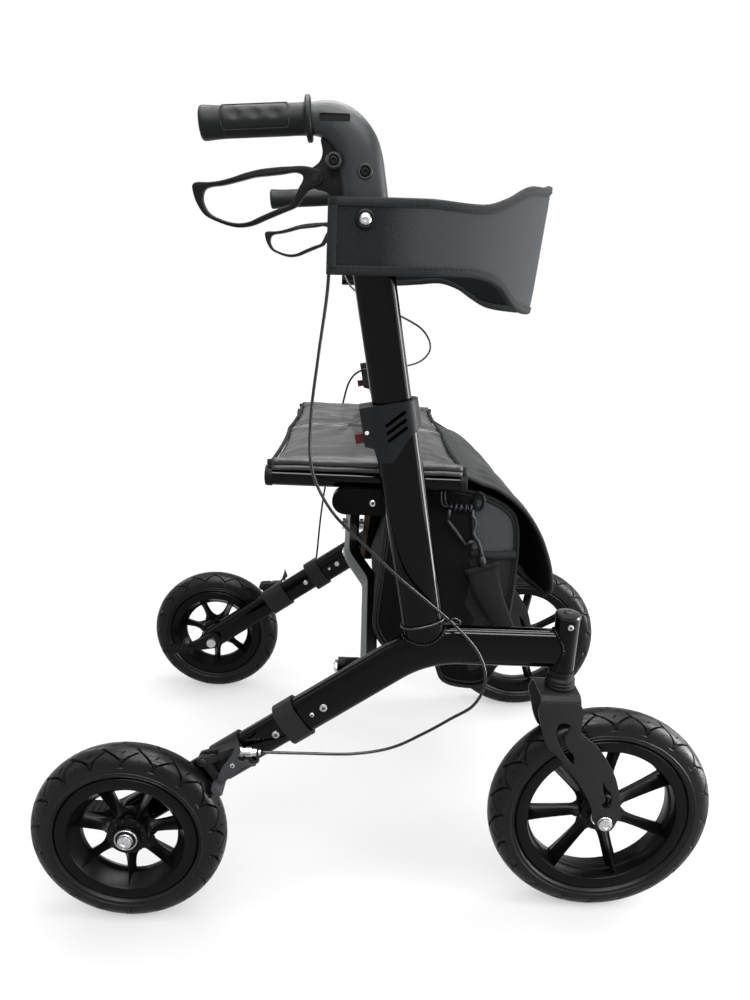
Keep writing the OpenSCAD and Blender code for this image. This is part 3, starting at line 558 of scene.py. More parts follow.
def knitMaterial(name, base, dark, rough):
    mat, tree, shader, where = newMaterial(name, base, rough, 0.0, 0.06)
    along = partOf(tree, where, "X")
    share = spread(tree, along, 0.0, 1.0, -0.034, 0.010)   # painted shade: darker towards the handle, where the band's left part lies in shade
    fleck = spread(tree, noiseAt(tree, where, 900, 2, 0.7), -0.22, 0.22)
    level = calc(tree, "ADD", share, fleck)
    tintBy(tree, shader, level, dark, base)
    close = bumpFrom(tree, shader, noiseAt(tree, where, 1100, 2, 0.6), 0.0003, 0.4)
    bumpFrom(tree, shader, noiseAt(tree, where, 55, 4), 0.0016, 0.1, close)
    return mat


def panelMaterial(name, base, dark, rough, thread, depth):
    mat = clothMaterial(name, base, rough, thread, depth, 0.03, 0.5, 0.06)
    tree, shader = mat.node_tree, mat.node_tree.nodes["Principled BSDF"]
    along = partOf(tree, places(tree), "X")
    share = spread(tree, along, 0.0, 1.0, 0.107, 0.110)   # only the front part is coated
    tintBy(tree, shader, share, dark, base)
    return mat


def ribMaterial(name, base, rough, ribs, direction, depth):
    mat, tree, shader, where = newMaterial(name, base, rough)
    wave = waveAt(tree, where, {"Scale": ribs, "bands_direction": direction, "Distortion": 0.3})
    cross = voronoiAt(tree, where, {"Scale": ribs * 2.6})
    first = bumpFrom(tree, shader, wave, depth, 0.7)
    bumpFrom(tree, shader, cross, depth * 0.5, 0.4, first)
    # painted shade and highlight: the tone follows the ribs, darker in the troughs and lighter on the ridges
    tintBy(tree, shader, wave, shade(base, 0.55), shade(base, 1.5))
    return mat


def netMaterial(name, base, hole, cell):
    mat, tree, shader, where = newMaterial(name, base, 0.75)
    cells = voronoiAt(tree, where, {"Scale": cell, "Randomness": 0.35})
    mask = spread(tree, cells, 1, 0, 0.28, 0.4)
    tintBy(tree, shader, mask, base, hole)
    bumpFrom(tree, shader, spread(tree, cells, 0, 1, 0.25, 0.45), 0.0007, 0.8)
    return mat


glossPaint = paintMaterial("gloss powder coat", (0.0004, 0.0005, 0.0007), 0.09, 0.10)
satinPaint = paintMaterial("satin powder coat", (0.0200, 0.0200, 0.0194), 0.32, 0.05, 0.00008)
blackPlastic = plasticMaterial("black moulded plastic", (0.0065, 0.0068, 0.0072), 0.42)
greyPlastic = plasticMaterial("grey moulded plastic", (0.050, 0.053, 0.058), 0.44)
elbowPlastic = plasticMaterial("elbow plastic", (0.0180, 0.0200, 0.0214), 0.43, 2200, 0.0001, 0.06, 0.19)
collarPlastic = plasticMaterial("collar plastic", (0.0125, 0.0135, 0.0150), 0.40, 2200, 0.0001)
capPlastic = plasticMaterial("cap plastic", (0.0060, 0.0065, 0.0070), 0.24, 2200, 0.00006, 0.05, 0.2)
tiePlastic = plasticMaterial("tie plastic", (0.0200, 0.0210, 0.0220), 0.34, 2200, 0.0001, 0.06, 0.3)
maroonPlastic = plasticMaterial("maroon button plastic", (0.085, 0.017, 0.022), 0.38, 2400, 0.00008)
whitePlastic = plasticMaterial("white pin plastic", (0.75, 0.75, 0.74), 0.4, 2400, 0.00005)
rimPlastic = plasticMaterial("rim plastic", (0.0027, 0.0030, 0.0032), 0.30, 1500, 0.00008)
tyreRubber = rubberMaterial("tyre rubber", (0.0042, 0.0044, 0.0046), 0.34, 900, 0.12)
gripRubber = rubberMaterial("grip rubber", (0.0074, 0.0082, 0.0088), 0.5, 1600)
rimRubber = rubberMaterial("panel rim rubber", (0.0200, 0.0215, 0.0225), 0.45, 1600)
sealRubber = rubberMaterial("seal rubber", (0.0040, 0.0040, 0.0042), 0.55, 1600)
cableSheath = rubberMaterial("cable sheath", (0.0030, 0.0030, 0.0033), 0.2, 2200, 0.3)
zincSteel = steelMaterial("zinc plated steel", (0.42, 0.42, 0.43), 0.27)
darkSteel = steelMaterial("dark steel", (0.024, 0.025, 0.027), 0.5)
seatLeather = leatherMaterial("seat leatherette", (0.0172, 0.0186, 0.0197), 0.38)
# the second colour serves both the knit's random dark flecks and the painted shade towards the handle
bandFoam = knitMaterial("foam backed knit", (0.0540, 0.0600, 0.0650), (0.0100, 0.0120, 0.0132), 0.82)
bindingTape = ribMaterial("binding tape", (0.0150, 0.0165, 0.0175), 0.72, 330, "X", 0.0003)
bagCloth = clothMaterial("woven bag cloth", (0.0042, 0.0044, 0.0048), 0.74, 300, 0.0003, 0.02, 0.35, 0.05)
coatedCloth = panelMaterial("coated side cloth", (0.0610, 0.0680, 0.0715), (0.0022, 0.0023, 0.0026), 0.42,
    210, 0.00016)
liningCloth = clothMaterial("dark lining", (0.0180, 0.0190, 0.0210), 0.85, 240, 0.0003, 0.0, 0.2, 0.0)
lidCloth = clothMaterial("lid cloth", (0.0146, 0.0158, 0.0172), 0.6, 260, 0.0002, 0.05, 0.5)
bandTape = ribMaterial("backrest tape", (0.0130, 0.0145, 0.0155), 0.72, 330, "X", 0.0003)
grooveShade = newMaterial("groove shade", (0.0006, 0.0006, 0.0006), 0.9, 0.0, 0.0)[0]
bagNet = netMaterial("bag net", (0.0210, 0.0220, 0.0230), (0.0020, 0.0020, 0.0022), 420)
strapWebbing = ribMaterial("strap webbing", (0.0076, 0.0081, 0.0088), 0.74, 230, "Z", 0.0005)
patchWebbing = ribMaterial("seat patch", (0.0300, 0.0320, 0.0330), 0.7, 150, "Y", 0.0005)
stitchThread = clothMaterial("stitching thread", (0.0030, 0.0032, 0.0035), 0.7, 900, 0.0001, 0.05)
weldBead = paintMaterial("painted weld", (0.0016, 0.0016, 0.0018), 0.2, 0.06, 0.0002)
# the near leg is black with a painted reflection on its rear edge; the far leg is bronze with painted shade
# on its front face
legPaintAndReflection = legMaterial("cross leg paint", (0.0016, 0.0016, 0.0018), (0.150, 0.156, 0.160), 0.1)
saddlePaint = paintMaterial("saddle paint", (0.0020, 0.0021, 0.0024), 0.30, 0.04, 0.00008)
bronzeAndPaintedShade = legMaterial("bronze leg paint", (0.0050, 0.0040, 0.0034), (0.046, 0.034, 0.026), 0.0)
slotMats = {
    "gloss_black": glossPaint, "satin_black": satinPaint, "bronze": bronzeAndPaintedShade,
    "black_plastic": blackPlastic, "grey_plastic": greyPlastic, "maroon": maroonPlastic,
    "steel": zincSteel, "grip": gripRubber, "tyre": tyreRubber, "rim": rimPlastic, "cable": cableSheath,
    "seat": seatLeather, "band": bandFoam, "bag": bagCloth, "webbing": strapWebbing,
}


def dressNode(name, mat, bevel=0.0):
    obj = nodes[name]
    obj.data.materials.clear()
    obj.data.materials.append(mat)
    if bevel:
        bevelEdges(obj, bevel, 2, 40, apply=False)


for part in frame["record"]["subparts"]:
    dressNode(part["node"], slotMats[part["material_slot"]])
edgeSet = {
    "leg_collars": (satinPaint, 0.0011), "saddle": (saddlePaint, 0.0010),
    "foot_pedal": (blackPlastic, 0.0012), "lock_collar": (collarPlastic, 0.0008),
    "lock_button": (maroonPlastic, 0.0012),
}
for kind, (mat, width) in edgeSet.items():
    for sideName in sides:
        dressNode(f"{kind}_{sideName}", mat, width)
print("materials ready")

# wheels: tyres with pointed arches, rims with blade spokes
wheelSets = {
    "front": {"centre": (0.302, 0.264, 0.152), "radius": 0.152, "pitches": 20, "lip": 0.1005,
        "window": 0.0965, "spokeTurn": 18.4},
    "rear": {"centre": (-0.327, 0.301, 0.127), "radius": 0.127, "pitches": 18, "lip": 0.0755,
        "window": 0.0630, "spokeTurn": 0.0},
}
tyreSet = {
    "half": 0.0225, "rise": 0.024, "groove": 0.0026, "depth": 0.0034, "cusp": 14, "apex": 66, "past": 77,
    "sipeLift": 0.00008,
    "rows": (0, 5, 9, 12, 14.5, 18, 22, 27, 32, 38, 44, 50, 56, 61, 65, 68, 71, 74, 77, 80, 85, 90),
    "wall": ((25.2, 22.5), (25.7, 23.1), (26.4, 23.1), (26.9, 22.4), (30.0, 21.6), (30.5, 22.1),
        (31.2, 22.0), (31.7, 21.2), (33.2, 20.2), (33.8, 19.4), (34.2, 17.6), (35.4, 16.6), (36.4, 15.8)),
}
spokeSet = {
    "count": 7, "ribs": 14, "ribLine": ((17.5, 17.6), (21.0, 15.4), (25.6, 13.6)),
    "hub": ((0.0150, 0.0120), (0.0152, 0.0198), (0.0160, 0.0204), (0.0171, 0.0204), (0.0177, 0.0198),
        (0.0179, 0.0152), (0.0190, 0.0143), (0.0236, 0.0139), (0.0262, 0.0130), (0.0270, 0.0114),
        (0.0272, 0.0040)),
    "bore": ((0.0095, -0.0120), (0.0095, 0.0120)),
    "quarter": ((0.05, 1.0), (0.12, 0.86), (0.26, 0.60), (0.46, 0.34), (0.72, 0.13), (1.0, 0.0)),
    "rear": ((22, 25, 11.5), (29, 27, 11.5), (35, 19, 11.7), (42, 14, 12.3), (52, 12, 13.4),
        (60, 12.5, 14.7), (67, 12, 16.0), (72, 9, 17.2), (76.5, 3, 18.6)),
    "front": ((22, 25, 11.5), (29, 27, 11.5), (35, 21, 11.7), (43, 17, 12.2), (60, 16, 13.2),
        (80, 16.5, 14.8), (91, 16.5, 16.2), (97.5, 12, 17.4), (101.6, 5, 18.6)),
}


def archPlaces(t, s, g):
    rise = min(max((t - s["cusp"]) / (s["apex"] - s["cusp"]), 0.0), 1.0)
    left = 0.5 * (1 - cos(rise * 1.4)) / (1 - cos(1.4))
    right = 1 - left
    if t > s["apex"]:
        left = right = 0.5 - 0.11 * min((t - s["apex"]) / (s["past"] - s["apex"]), 1.0)
    inside, outside = right - left, 1 + left - right
    gi, go = min(g, inside * 0.25), min(g, outside * 0.25)
    us = [left - go, left - 0.45 * go, left + 0.45 * gi, left + gi]
    us += [left + gi + (inside - 2 * gi) * k / 3 for k in (1, 2)]
    us += [right - gi, right - 0.45 * gi, right + 0.45 * go, right + go]
    us += [right + go + (outside - 2 * go) * k / 3 for k in (1, 2)]
    lowIn = max(0.0, 1 - inside / (3 * g))
    lowOut = max(0.0, 1 - outside / (3 * g))
    cut = [lowOut, 1, 1, lowIn, lowIn, lowIn, lowIn, 1, 1, lowOut, lowOut, lowOut]
    fade = min(max((t - 10.5) / 4, 0), 1) * min(max((s["past"] + 2 - t) / 3, 0), 1)
    even = min(max((t - s["past"]) / (90 - s["past"]), (s["cusp"] - t) / s["cusp"], 0), 1)
    us = [u * (1 - even) + (k / 12 - 0.03) * even for k, u in enumerate(us)]
    return us, [c * fade for c in cut]


def tyreCrown(big, s, t):
    a = radians(t)
    return big - s["rise"] + s["rise"] * sin(a) ** 0.8, s["half"] * cos(a)


def makeTyre(name, w, s, side, body, node):
    big, pitches = w["radius"], w["pitches"]
    g = s["groove"] / (2 * pi * big / pitches)
    centre = Vector(w["centre"])
    rows = []
    for out in (1, -1):
        half = []
        for r, y in reversed(s["wall"]):
            half.append(([k / 12 - 0.03 for k in range(12)], [0] * 12, big - r / 1000, y / 1000))
        for t in s["rows"]:
            us, cut = archPlaces(t, s, g)
            half.append((us, cut, *tyreCrown(big, s, t)))
        rows.append((out, half))
    verts, ringLists = [], []
    for out, half in rows:
        shift = 0.0 if out > 0 else 0.5
        for us, cut, r, y in half:
            ring = []
            for n in range(pitches):
                for k in range(12):
                    t = 2 * pi * (n + us[k] + shift) / pitches
                    deep = s["depth"] * cut[k]
                    rr = r - deep * min(1.0, 0.35 + (r - big + s["rise"]) / s["rise"])
                    yy = y - deep * 0.5 * (y / s["half"]) * (1 if r < big - 0.006 else 0.3)
                    ring.append(len(verts))
                    verts.append((centre.x + rr * sin(t), centre.y + out * yy, centre.z + rr * cos(t)))
            ringLists.append((out, ring))
    faces = []
    count = pitches * 12
    for (o1, a), (o2, b) in zip(ringLists, ringLists[1:]):
        if o1 != o2:
            continue
        for k in range(count):
            m = (k + 1) % count
            quad = (a[k], a[m], b[m], b[k])
            faces.append(quad if o1 < 0 else tuple(reversed(quad)))
    half = len(ringLists) // 2
    first, second = ringLists[0][1], ringLists[half][1]
    for k in range(count):
        m = (k + 1) % count
        faces.append((first[k], first[m], second[(m - 6) % count], second[(k - 6) % count]))
    tyre = sharpBy(faceOut(addMesh(name, verts, faces, tyreRubber, side=side), 2e-6), 42)
    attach(tyre, body)
    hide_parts(node)


# the tread's sipes are drawn as thin dark ribbons just above the crown: painted shade of cuts that are not
# modelled
def drawSipeShade(name, w, s, side, body):
    big, pitches = w["radius"], w["pitches"]
    verts, faces = [], []

    def ribbon(spots, wide, out):
        base = len(verts)
        for k, (t, u) in enumerate(spots):
            r, y = (v + s["sipeLift"] for v in tyreCrown(big, s, t))
            thin = wide * (0.35 if k in (0, len(spots) - 1) else 1.0) / 2 / big
            for d in (-thin, thin):
                q = 2 * pi * u / pitches + d
                spot = Vector((r * sin(q), y * out, r * cos(q)))
                verts.append(tuple(Vector(w["centre"]) + spot))
        for k in range(len(spots) - 1):
            q = (base + 2 * k, base + 2 * k + 1, base + 2 * k + 3, base + 2 * k + 2)
            faces.append(q if out < 0 else tuple(reversed(q)))

    for out in (1, -1):
        for n in range(pitches):
            at = n + (0 if out > 0 else 0.5)
            ribbon([(51 + 15 * k / 4, at - 0.05 + 0.11 * k / 4) for k in range(5)], 0.0019, out)
            ribbon([(30 + 9 * k / 3, at + 0.50 + 0.05 * k / 3) for k in range(4)], 0.0011, out)
            for start in (0.0, 0.5):
                ribbon([(80 + 9.5 * k / 4, at + start + 0.06 + 0.20 * k / 4) for k in range(5)], 0.0012, out)
    sipeShade = addMesh(name, verts, faces, grooveShade, side=side)
    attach(sipeShade, body)


def spokeAxes(angle):
    turn = radians(angle)   # from straight up towards the front
    along = Vector((sin(turn), 0, cos(turn)))
    return along, Vector((along.z, 0, -along.x))


def makeRim(name, w, s, kind, side, body, node):
    big, lip, win = w["radius"], w["lip"], w["window"]
    seat = big - 0.037
    near = [(seat - 0.003, 0.004), (seat, 0.0165), (seat + 0.0012, 0.0180), (seat + 0.0014, 0.0196),
        (seat + 0.0002, 0.0206), (lip + 0.0022, 0.0206), (lip + 0.0008, 0.0200), (lip, 0.0186),
        (win + 0.0026, 0.0062), (win + 0.0004, 0.0044), (win, 0.0026)]
    far = [(r, -y) for r, y in reversed(near)]
    wheel = [lathe(name + "Ring", near + far, 96, w["centre"], rimPlastic, closed=True)]
    hub = [*s["hub"], *((r, -y) for r, y in reversed(s["hub"])), *s["bore"]]
    wheel.append(lathe(name + "Hub", hub, 64, w["centre"], rimPlastic, closed=True))
    for n in range(s["ribs"]):
        along, across = spokeAxes(180 - w["spokeTurn"] + 360 * (n + 0.5) / s["ribs"])
        for out in (1, -1):
            rings = []
            for r, top in s["ribLine"]:
                at = Vector(w["centre"]) + along * (r / 1000)
                shape = ((-0.0009, 12), (-0.0009, top - 0.4), (0, top), (0.0009, top - 0.4), (0.0009, 12))
                rings.append([at + across * x + Vector((0, out * y / 1000, 0)) for x, y in shape])
            wheel.append(faceOut(addLoft(name + "Rib", rings, rimPlastic)))
    for n in range(s["count"]):
        along, across = spokeAxes(180 - w["spokeTurn"] + 360 * n / s["count"])
        rings = []
        for r, wide, deep in s[kind]:
            base = Vector(w["centre"]) + along * (r / 1000)
            h, d = wide / 2000, deep / 1000
            shape = []
            for a, b in ((h, d), (-h, -d)):
                shape += [(a * u, b * v) for u, v in s["quarter"]]
                shape += [(a * u, -b * v) for u, v in reversed(s["quarter"][:-1])]
            rings.append([base + across * x + Vector((0, y, 0)) for x, y in shape])
        wheel.append(sharpBy(faceOut(addLoft(name + "Spoke", fineRings(rings, 4), rimPlastic)), 50))
    rim = joinMeshes(name, wheel, side)
    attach(rim, body)
    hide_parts(node)


hubSet = {"front": {"seal": 0.0202, "bolt": 0.0312}, "rear": {"seal": 0.0202, "bolt": 0.0202}}
fittingSet = {
    "seal": ((0.0092, 0.0), (0.0095, 0.0005), (0.0126, 0.0005), (0.0133, 0.0), (0.0134, -0.003)),
    "ring": ((0.0136, -0.003), (0.0136, 0.0004), (0.0140, 0.0008), (0.0146, 0.0008), (0.0149, 0.0004),
        (0.0149, -0.003)),
    "bolt": ((0.0072, 0.0002), (0.0093, 0.0002), (0.0097, 0.0007), (0.0097, 0.0016), (0.0092, 0.0022),
        (0.0091, 0.0036), (0.0084, 0.0051), (0.0066, 0.0062), (0.0041, 0.0068), (0.0036, 0.0058),
        (0.0, 0.0056)),
}


def makeHubFittings(name, w, s, sideName, side):
    c = Vector(w["centre"])
    label = sideName + name.capitalize()
    for out in (1, -1):
        tag = "Out" if out > 0 else "In"
        face = s["seal"] * out
        sealLine, ringLine = ([(r, face + a * out) for r, a in fittingSet[k]] for k in ("seal", "ring"))
        seal = lathe(f"{label}Seal{tag}", sealLine, 48, c, sealRubber, side=side)
        ring = lathe(f"{label}HubRing{tag}", ringLine, 48, c, zincSteel, side=side)
        for piece, slotName in ((seal, "black_plastic"), (ring, "steel")):
            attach(piece, f"{sideName}_{name}_wheel")
    boltLine = [(r, s["bolt"] + a) for r, a in fittingSet["bolt"]]
    dome = lathe(label + "Bolt", boltLine, 48, c, zincSteel, side=side)
    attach(dome, f"{sideName}_fork" if name == "front" else f"{sideName}_frame")


for sideName, side in sides.items():
    for wheelName, wheelValues in wheelSets.items():
        body = f"{sideName}_{wheelName}_wheel"
        label = sideName + wheelName.capitalize()
        makeTyre(label + "Tyre", wheelValues, tyreSet, side, body, f"{wheelName}_tyre_{sideName}")
        drawSipeShade(label + "SipeShade", wheelValues, tyreSet, side, body)
        makeRim(label + "Rim", wheelValues, spokeSet, wheelName, side, body, f"{wheelName}_rim_{sideName}")
        makeHubFittings(wheelName, wheelValues, hubSet[wheelName], sideName, side)
print("wheels ready")

# forks, headsets and head caps
forkSet = {
    "left": ((198.5, 326), (203, 290), (209, 268), (216.4, 258), (230.5, 244), (250.4, 218), (264, 194),
        (273, 174), (277, 154), (283, 143), (293, 137)),
    "right": ((302, 139), (307, 148), (312.5, 166), (311, 190.5), (303, 222), (291, 246), (276, 268),
        (264, 278), (254, 290), (250, 326)),
    "upper": ((229, 300.5), (239, 297), (238, 288), (233, 280), (236, 266), (246, 252), (246, 240),
        (236, 251), (227, 268), (222, 282), (223, 296)),
    "lower": ((287, 216), (290, 207), (298, 197.5), (300, 185), (296, 174), (288, 174), (286, 179),
        (292, 186), (288, 200)),
    "middle": 29.0, "thick": 4.0, "crown": 335.0, "bend": 12.0, "y": 264.0, "steer": 228.0,
}
headSet = {
    "rings": ((15.6, 337.2), (18.4, 337.6), (19.2, 339.2), (19.2, 341.0), (17.6, 342.3), (19.0, 343.6),
        (19.0, 345.8), (17.4, 347.2), (18.6, 348.6), (18.6, 350.2), (16.4, 351.4), (15.2, 353.0),
        (15.2, 356.2), (16.4, 357.2), (16.4, 361.4), (12.0, 361.8)),
    "cap": ((15.0, 434.6), (16.3, 435.2), (16.5, 437.6), (15.6, 439.6), (12.0, 440.7), (6.4, 441.0),
        (6.0, 440.2), (0.0, 440.2)),
    "bolt": ((5.4, 440.0), (5.4, 441.6), (4.4, 442.8), (2.6, 443.3), (2.2, 442.4), (0.0, 442.4)),
}


def ledShift(p):
    x, z = p
    # the caster stands a little swivelled in the photograph
    lead = 10 * (1 - (max(z, 152) - 152) / 138) if z < 290 else 0
    return (x + lead, z)


def makeFork(s, sideName, side):
    outline = flatLoop([ledShift(p) for p in s["left"] + s["right"]], 4)
    holes = [flatLoop([ledShift(p) for p in s[k]], 4) for k in ("upper", "lower")]
    pieces = []
    for out in (1, -1):
        def place(c, out=out):
            return metres(c.x, s["y"] + out * s["middle"] + c.z, c.y)
        pieces.append(prism("forkBlade", outline, s["thick"], place, satinPaint, holes, 0.7))
    path = [(s["middle"], 318.0)]
    for k in range(7):
        t = radians(15 * k)
        path.append((s["middle"] - s["bend"] * (1 - cos(t)), s["crown"] - s["bend"] + s["bend"] * sin(t)))
    path += [(0.0, s["crown"])]
    path += [(-y, z) for y, z in reversed(path[:-1])]
    rings = []
    for i, (y, z) in enumerate(path):
        d = headingAt(path, i)
        n = Vector((d.y, -d.x)) * s["thick"] / 2
        drop = (326 - min(z, 326)) / 8
        low, high = 198.6 + drop * 0.3, 250.2 + drop * 0.2
        ring = []
        for x, o in ((low + 0.8, 1), (high - 0.8, 1), (high, 0.6), (high, -0.6), (high - 0.8, -1),
                (low + 0.8, -1), (low, -0.6), (low, 0.6)):
            ring.append(metres(x, s["y"] + y + n.x * o, z + n.y * o))
        rings.append(ring)
    pieces.append(sharpBy(faceOut(addLoft("forkCrown", rings, satinPaint)), 40))
    pieces.append(lathe("forkStem", rodProfile(0.0110, 0.330, 0.4340), 40,
        (s["steer"] / 1000, s["y"] / 1000, 0), darkSteel, axis=(0, 0, 1)))
    fork = joinMeshes(sideName + "Fork", pieces, side)
    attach(fork, f"{sideName}_fork")
    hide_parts(f"fork_{sideName}")


def makeHeadset(s, sideName, side):
    at = (forkSet["steer"] / 1000, forkSet["y"] / 1000, 0)
    rings = lathe(sideName + "HeadRings", inMetres(s["rings"]), 56, at, sealRubber, axis=(0, 0, 1),
        side=side)
    cap = lathe(sideName + "HeadCap", inMetres(s["cap"]), 56, at, capPlastic, axis=(0, 0, 1), side=side)
    bolt = lathe(sideName + "HeadBolt", inMetres(s["bolt"]), 40, at, darkSteel, axis=(0, 0, 1), side=side)
    for piece in (rings, cap, bolt):
        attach(piece, f"{sideName}_frame")
    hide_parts(f"headset_{sideName}")


for sideName, side in sides.items():
    makeFork(forkSet, sideName, side)
    makeHeadset(headSet, sideName, side)
print("forks ready")

# elbows, grips and levers, in the column's own frame in millimetres
columnOut = columnTurn.to_3x3() @ Vector((0, 1, 0))
elbowSet = {
    "stations": ((520.2, 0, 24.6, 22.5, 15.4), (533, 0, 25.8, 22.5, 16.0), (552, 0, 26.0, 22.0, 16.0),
        (571, 0, 25.8, 21.5, 16.0), (571, 15, 25.2, 20.6, 16.0), (571, 30, 24.0, 19.6, 16.0),
        (571, 45, 22.4, 18.4, 15.8), (571, 58, 20.2, 17.2, 15.4), (571, 70, 17.6, 16.2, 15.0),
        (571, 84, 14.8, 15.2, 14.6)),
    "turnRadius": 45.0, "square": 2.6,
    "web": ((-12, 531), (-30, 534), (-37, 545), (-50, 551), (-55.5, 561), (-51, 569), (-40, 575),
        (-35, 584), (-34, 598), (-18, 600)),
    "webThick": 8.0, "slot": {"centre": (-17.5, 611.5), "size": (31, 7.6), "tilt": 9, "depth": 3.6},
    "screws": ((-25, 573), (5, 558)), "screwOut": 15.6, "pinAt": (-46, 0, 561),
    "boss": ((0.0054, -0.0022), (0.0054, 0.0012), (0.0059, 0.0018), (0.0069, 0.0018), (0.0078, 0.0009),
        (0.0082, -0.0008)),
    "head": ((0.0050, -0.0034), (0.0048, -0.0008), (0.0041, -0.0001), (0.0024, 0.0002), (0.0021, -0.0016),
        (0.0, -0.0017)),
    "pin": ((0.0, -0.0070), (0.0034, -0.0070), (0.0040, -0.0064), (0.0040, 0.0064), (0.0034, 0.0070),
        (0.0, 0.0070)),
}
gripSet = {
    "from": (-40.3, 615.75), "along": (-0.9945, 0.1045), "panel": (22, 91), "panelAngles": (26, 126),
    "panelLift": 1.3, "dimples": (37, 56.5, 76), "dimpleAngle": 72, "dimpleSize": (7.4, 0.36),
    "dimpleDepth": 1.8, "radius": 15.2, "perDegree": 0.265,
    "near": ((0.3, 15.0), (0.4, 20.0), (0.9, 21.4), (2.0, 22.0), (4.6, 22.0), (5.8, 21.3), (6.3, 19.5),
        (6.5, 16.4), (7.4, 15.5), (10, 15.2), (15, 15.1), (19, 15.1), (21.2, 15.1)),
    "plain": (23, 25, 28, 31, 33, 35, 37, 39, 41, 43, 46, 50, 52.5, 54.5, 56.5, 58.5, 60.5, 63, 67, 70,
        72, 74, 76, 78, 80, 82, 86, 89),
    "far": ((91, 15.3), (93, 15.4), (97, 15.6), (103, 16.1), (108, 16.5), (110.8, 16.4), (112.4, 15.6),
        (113.2, 13.8), (113.4, 11.0), (113.4, 4.0)),
}
leverSet = {
    "outer": ((-57, 573.5), (-69, 574.8), (-82, 576), (-100, 576.7), (-116, 575.6), (-130, 573.4),
        (-144, 572), (-156, 572.4), (-167, 574), (-172, 573), (-174, 569), (-173.4, 558), (-170.4, 548),
        (-165.7, 540.5), (-156, 533.8), (-145, 528), (-134, 524.6), (-119.5, 524.4), (-104, 528),
        (-84.5, 532.5), (-71, 535.8), (-63.6, 542.4), (-55.5, 550), (-46, 552), (-38.5, 556), (-38.5, 566),
        (-46, 570)),
    "inner": ((-162.6, 565), (-156, 567.6), (-142, 567.4), (-126, 568.6), (-109, 570.2), (-94.5, 569.6),
        (-80, 569), (-67, 569), (-60, 566), (-59.5, 560.5), (-65.3, 553.3), (-71.8, 544), (-77.5, 538.9),
        (-89, 537), (-108.5, 532.4), (-122.6, 528.7), (-135.2, 529.2), (-147.6, 533.6), (-159.6, 540.8),
        (-164.4, 547.6), (-166, 557)),
    "thick": 12.0, "bevel": 1.2, "gapWide": 8.8,
    "gap": ((-70, 548), (-30, 548), (-30, 590), (-60, 590), (-62, 574)),
}


def columnPoint(*p):
    return inColumn(p)


def columnUpright(c):
    return columnPoint(c.x, c.z, c.y)


def turned(c, angle):
    t = radians(angle)
    return c.x * cos(t) - c.y * sin(t), c.x * sin(t) + c.y * cos(t)


def cutAway(obj, cutters):
    for cutter in cutters:
        mod = obj.modifiers.new("cut", "BOOLEAN")
        mod.operation = "DIFFERENCE"
        mod.solver = "EXACT"
        mod.material_mode = "TRANSFER"
        mod.object = cutter
    applyModifiers(obj)
    for cutter in cutters:
        old = cutter.data
        bpy.data.objects.remove(cutter)
        bpy.data.meshes.remove(old)
    return obj


def roundedBox(wide, high, corner, steps=5):
    out = []
    for cx, cy, start in ((1, 1, 0), (-1, 1, 90), (-1, -1, 180), (1, -1, 270)):
        for k in range(steps + 1):
            t = radians(start + 90 * k / steps)
            out.append((cx * (wide / 2 - corner) + corner * cos(t),
                cy * (high / 2 - corner) + corner * sin(t)))
    return out


def makeElbow(s, sideName, side):
    rings = []
    power = 2 / s["square"]
    for at, turn, outer, inner, wide in s["stations"]:
        t = radians(turn)
        mid = Vector((s["turnRadius"] * (cos(t) - 1), at + s["turnRadius"] * sin(t)))
        n = Vector((cos(t), sin(t)))
        ring = []
        for k in range(36):
            q = 2 * pi * k / 36
            c, d = cos(q), sin(q)
            reach = outer if c > 0 else inner
            p = mid + n * (reach * signedPower(c, power))
            ring.append(columnPoint(p.x, wide * signedPower(d, power), p.y))
        rings.append(ring)
    body = faceOut(addLoft("elbowBody", fineRings(rings, 3), elbowPlastic))
    cut = s["slot"]

    def slotPlace(c):
        x, z = turned(c, -cut["tilt"])
        return columnPoint(cut["centre"][0] + x, 16 + c.z, cut["centre"][1] + z)
    # the cut walls take the cutter's darker cap plastic: painted shade in the slot's recess
    cutters = [prism("slotCut", roundedBox(*cut["size"], 2.0), 2 * cut["depth"], slotPlace, capPlastic)]
    for a, z in s["screws"]:
        cutters.append(lathe("screwCut", rodProfile(0.0052, -0.0038, 0.004), 32,
            columnPoint(a, s["screwOut"], z), blackPlastic, axis=columnOut))
    cutAway(body, cutters)
    sharpBy(body, 35)
    webLine = flatLoop(s["web"], 3)
    pieces = [body, prism("elbowWeb", webLine, s["webThick"], columnUpright, blackPlastic, bevel=1.4)]
    for a, z in s["screws"]:
        here = columnPoint(a, s["screwOut"], z)
        pieces.append(lathe("screwBoss", s["boss"], 36, here, elbowPlastic, axis=columnOut))
        pieces.append(lathe("screwHead", s["head"], 30, here, sealRubber, axis=columnOut))
    pieces.append(lathe("leverPin", s["pin"], 28, columnPoint(*s["pinAt"]), capPlastic, axis=columnOut))
    elbow = joinMeshes(sideName + "Elbow", pieces, side)
    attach(elbow, f"{sideName}_handle")
    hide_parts(f"handle_elbow_{sideName}")


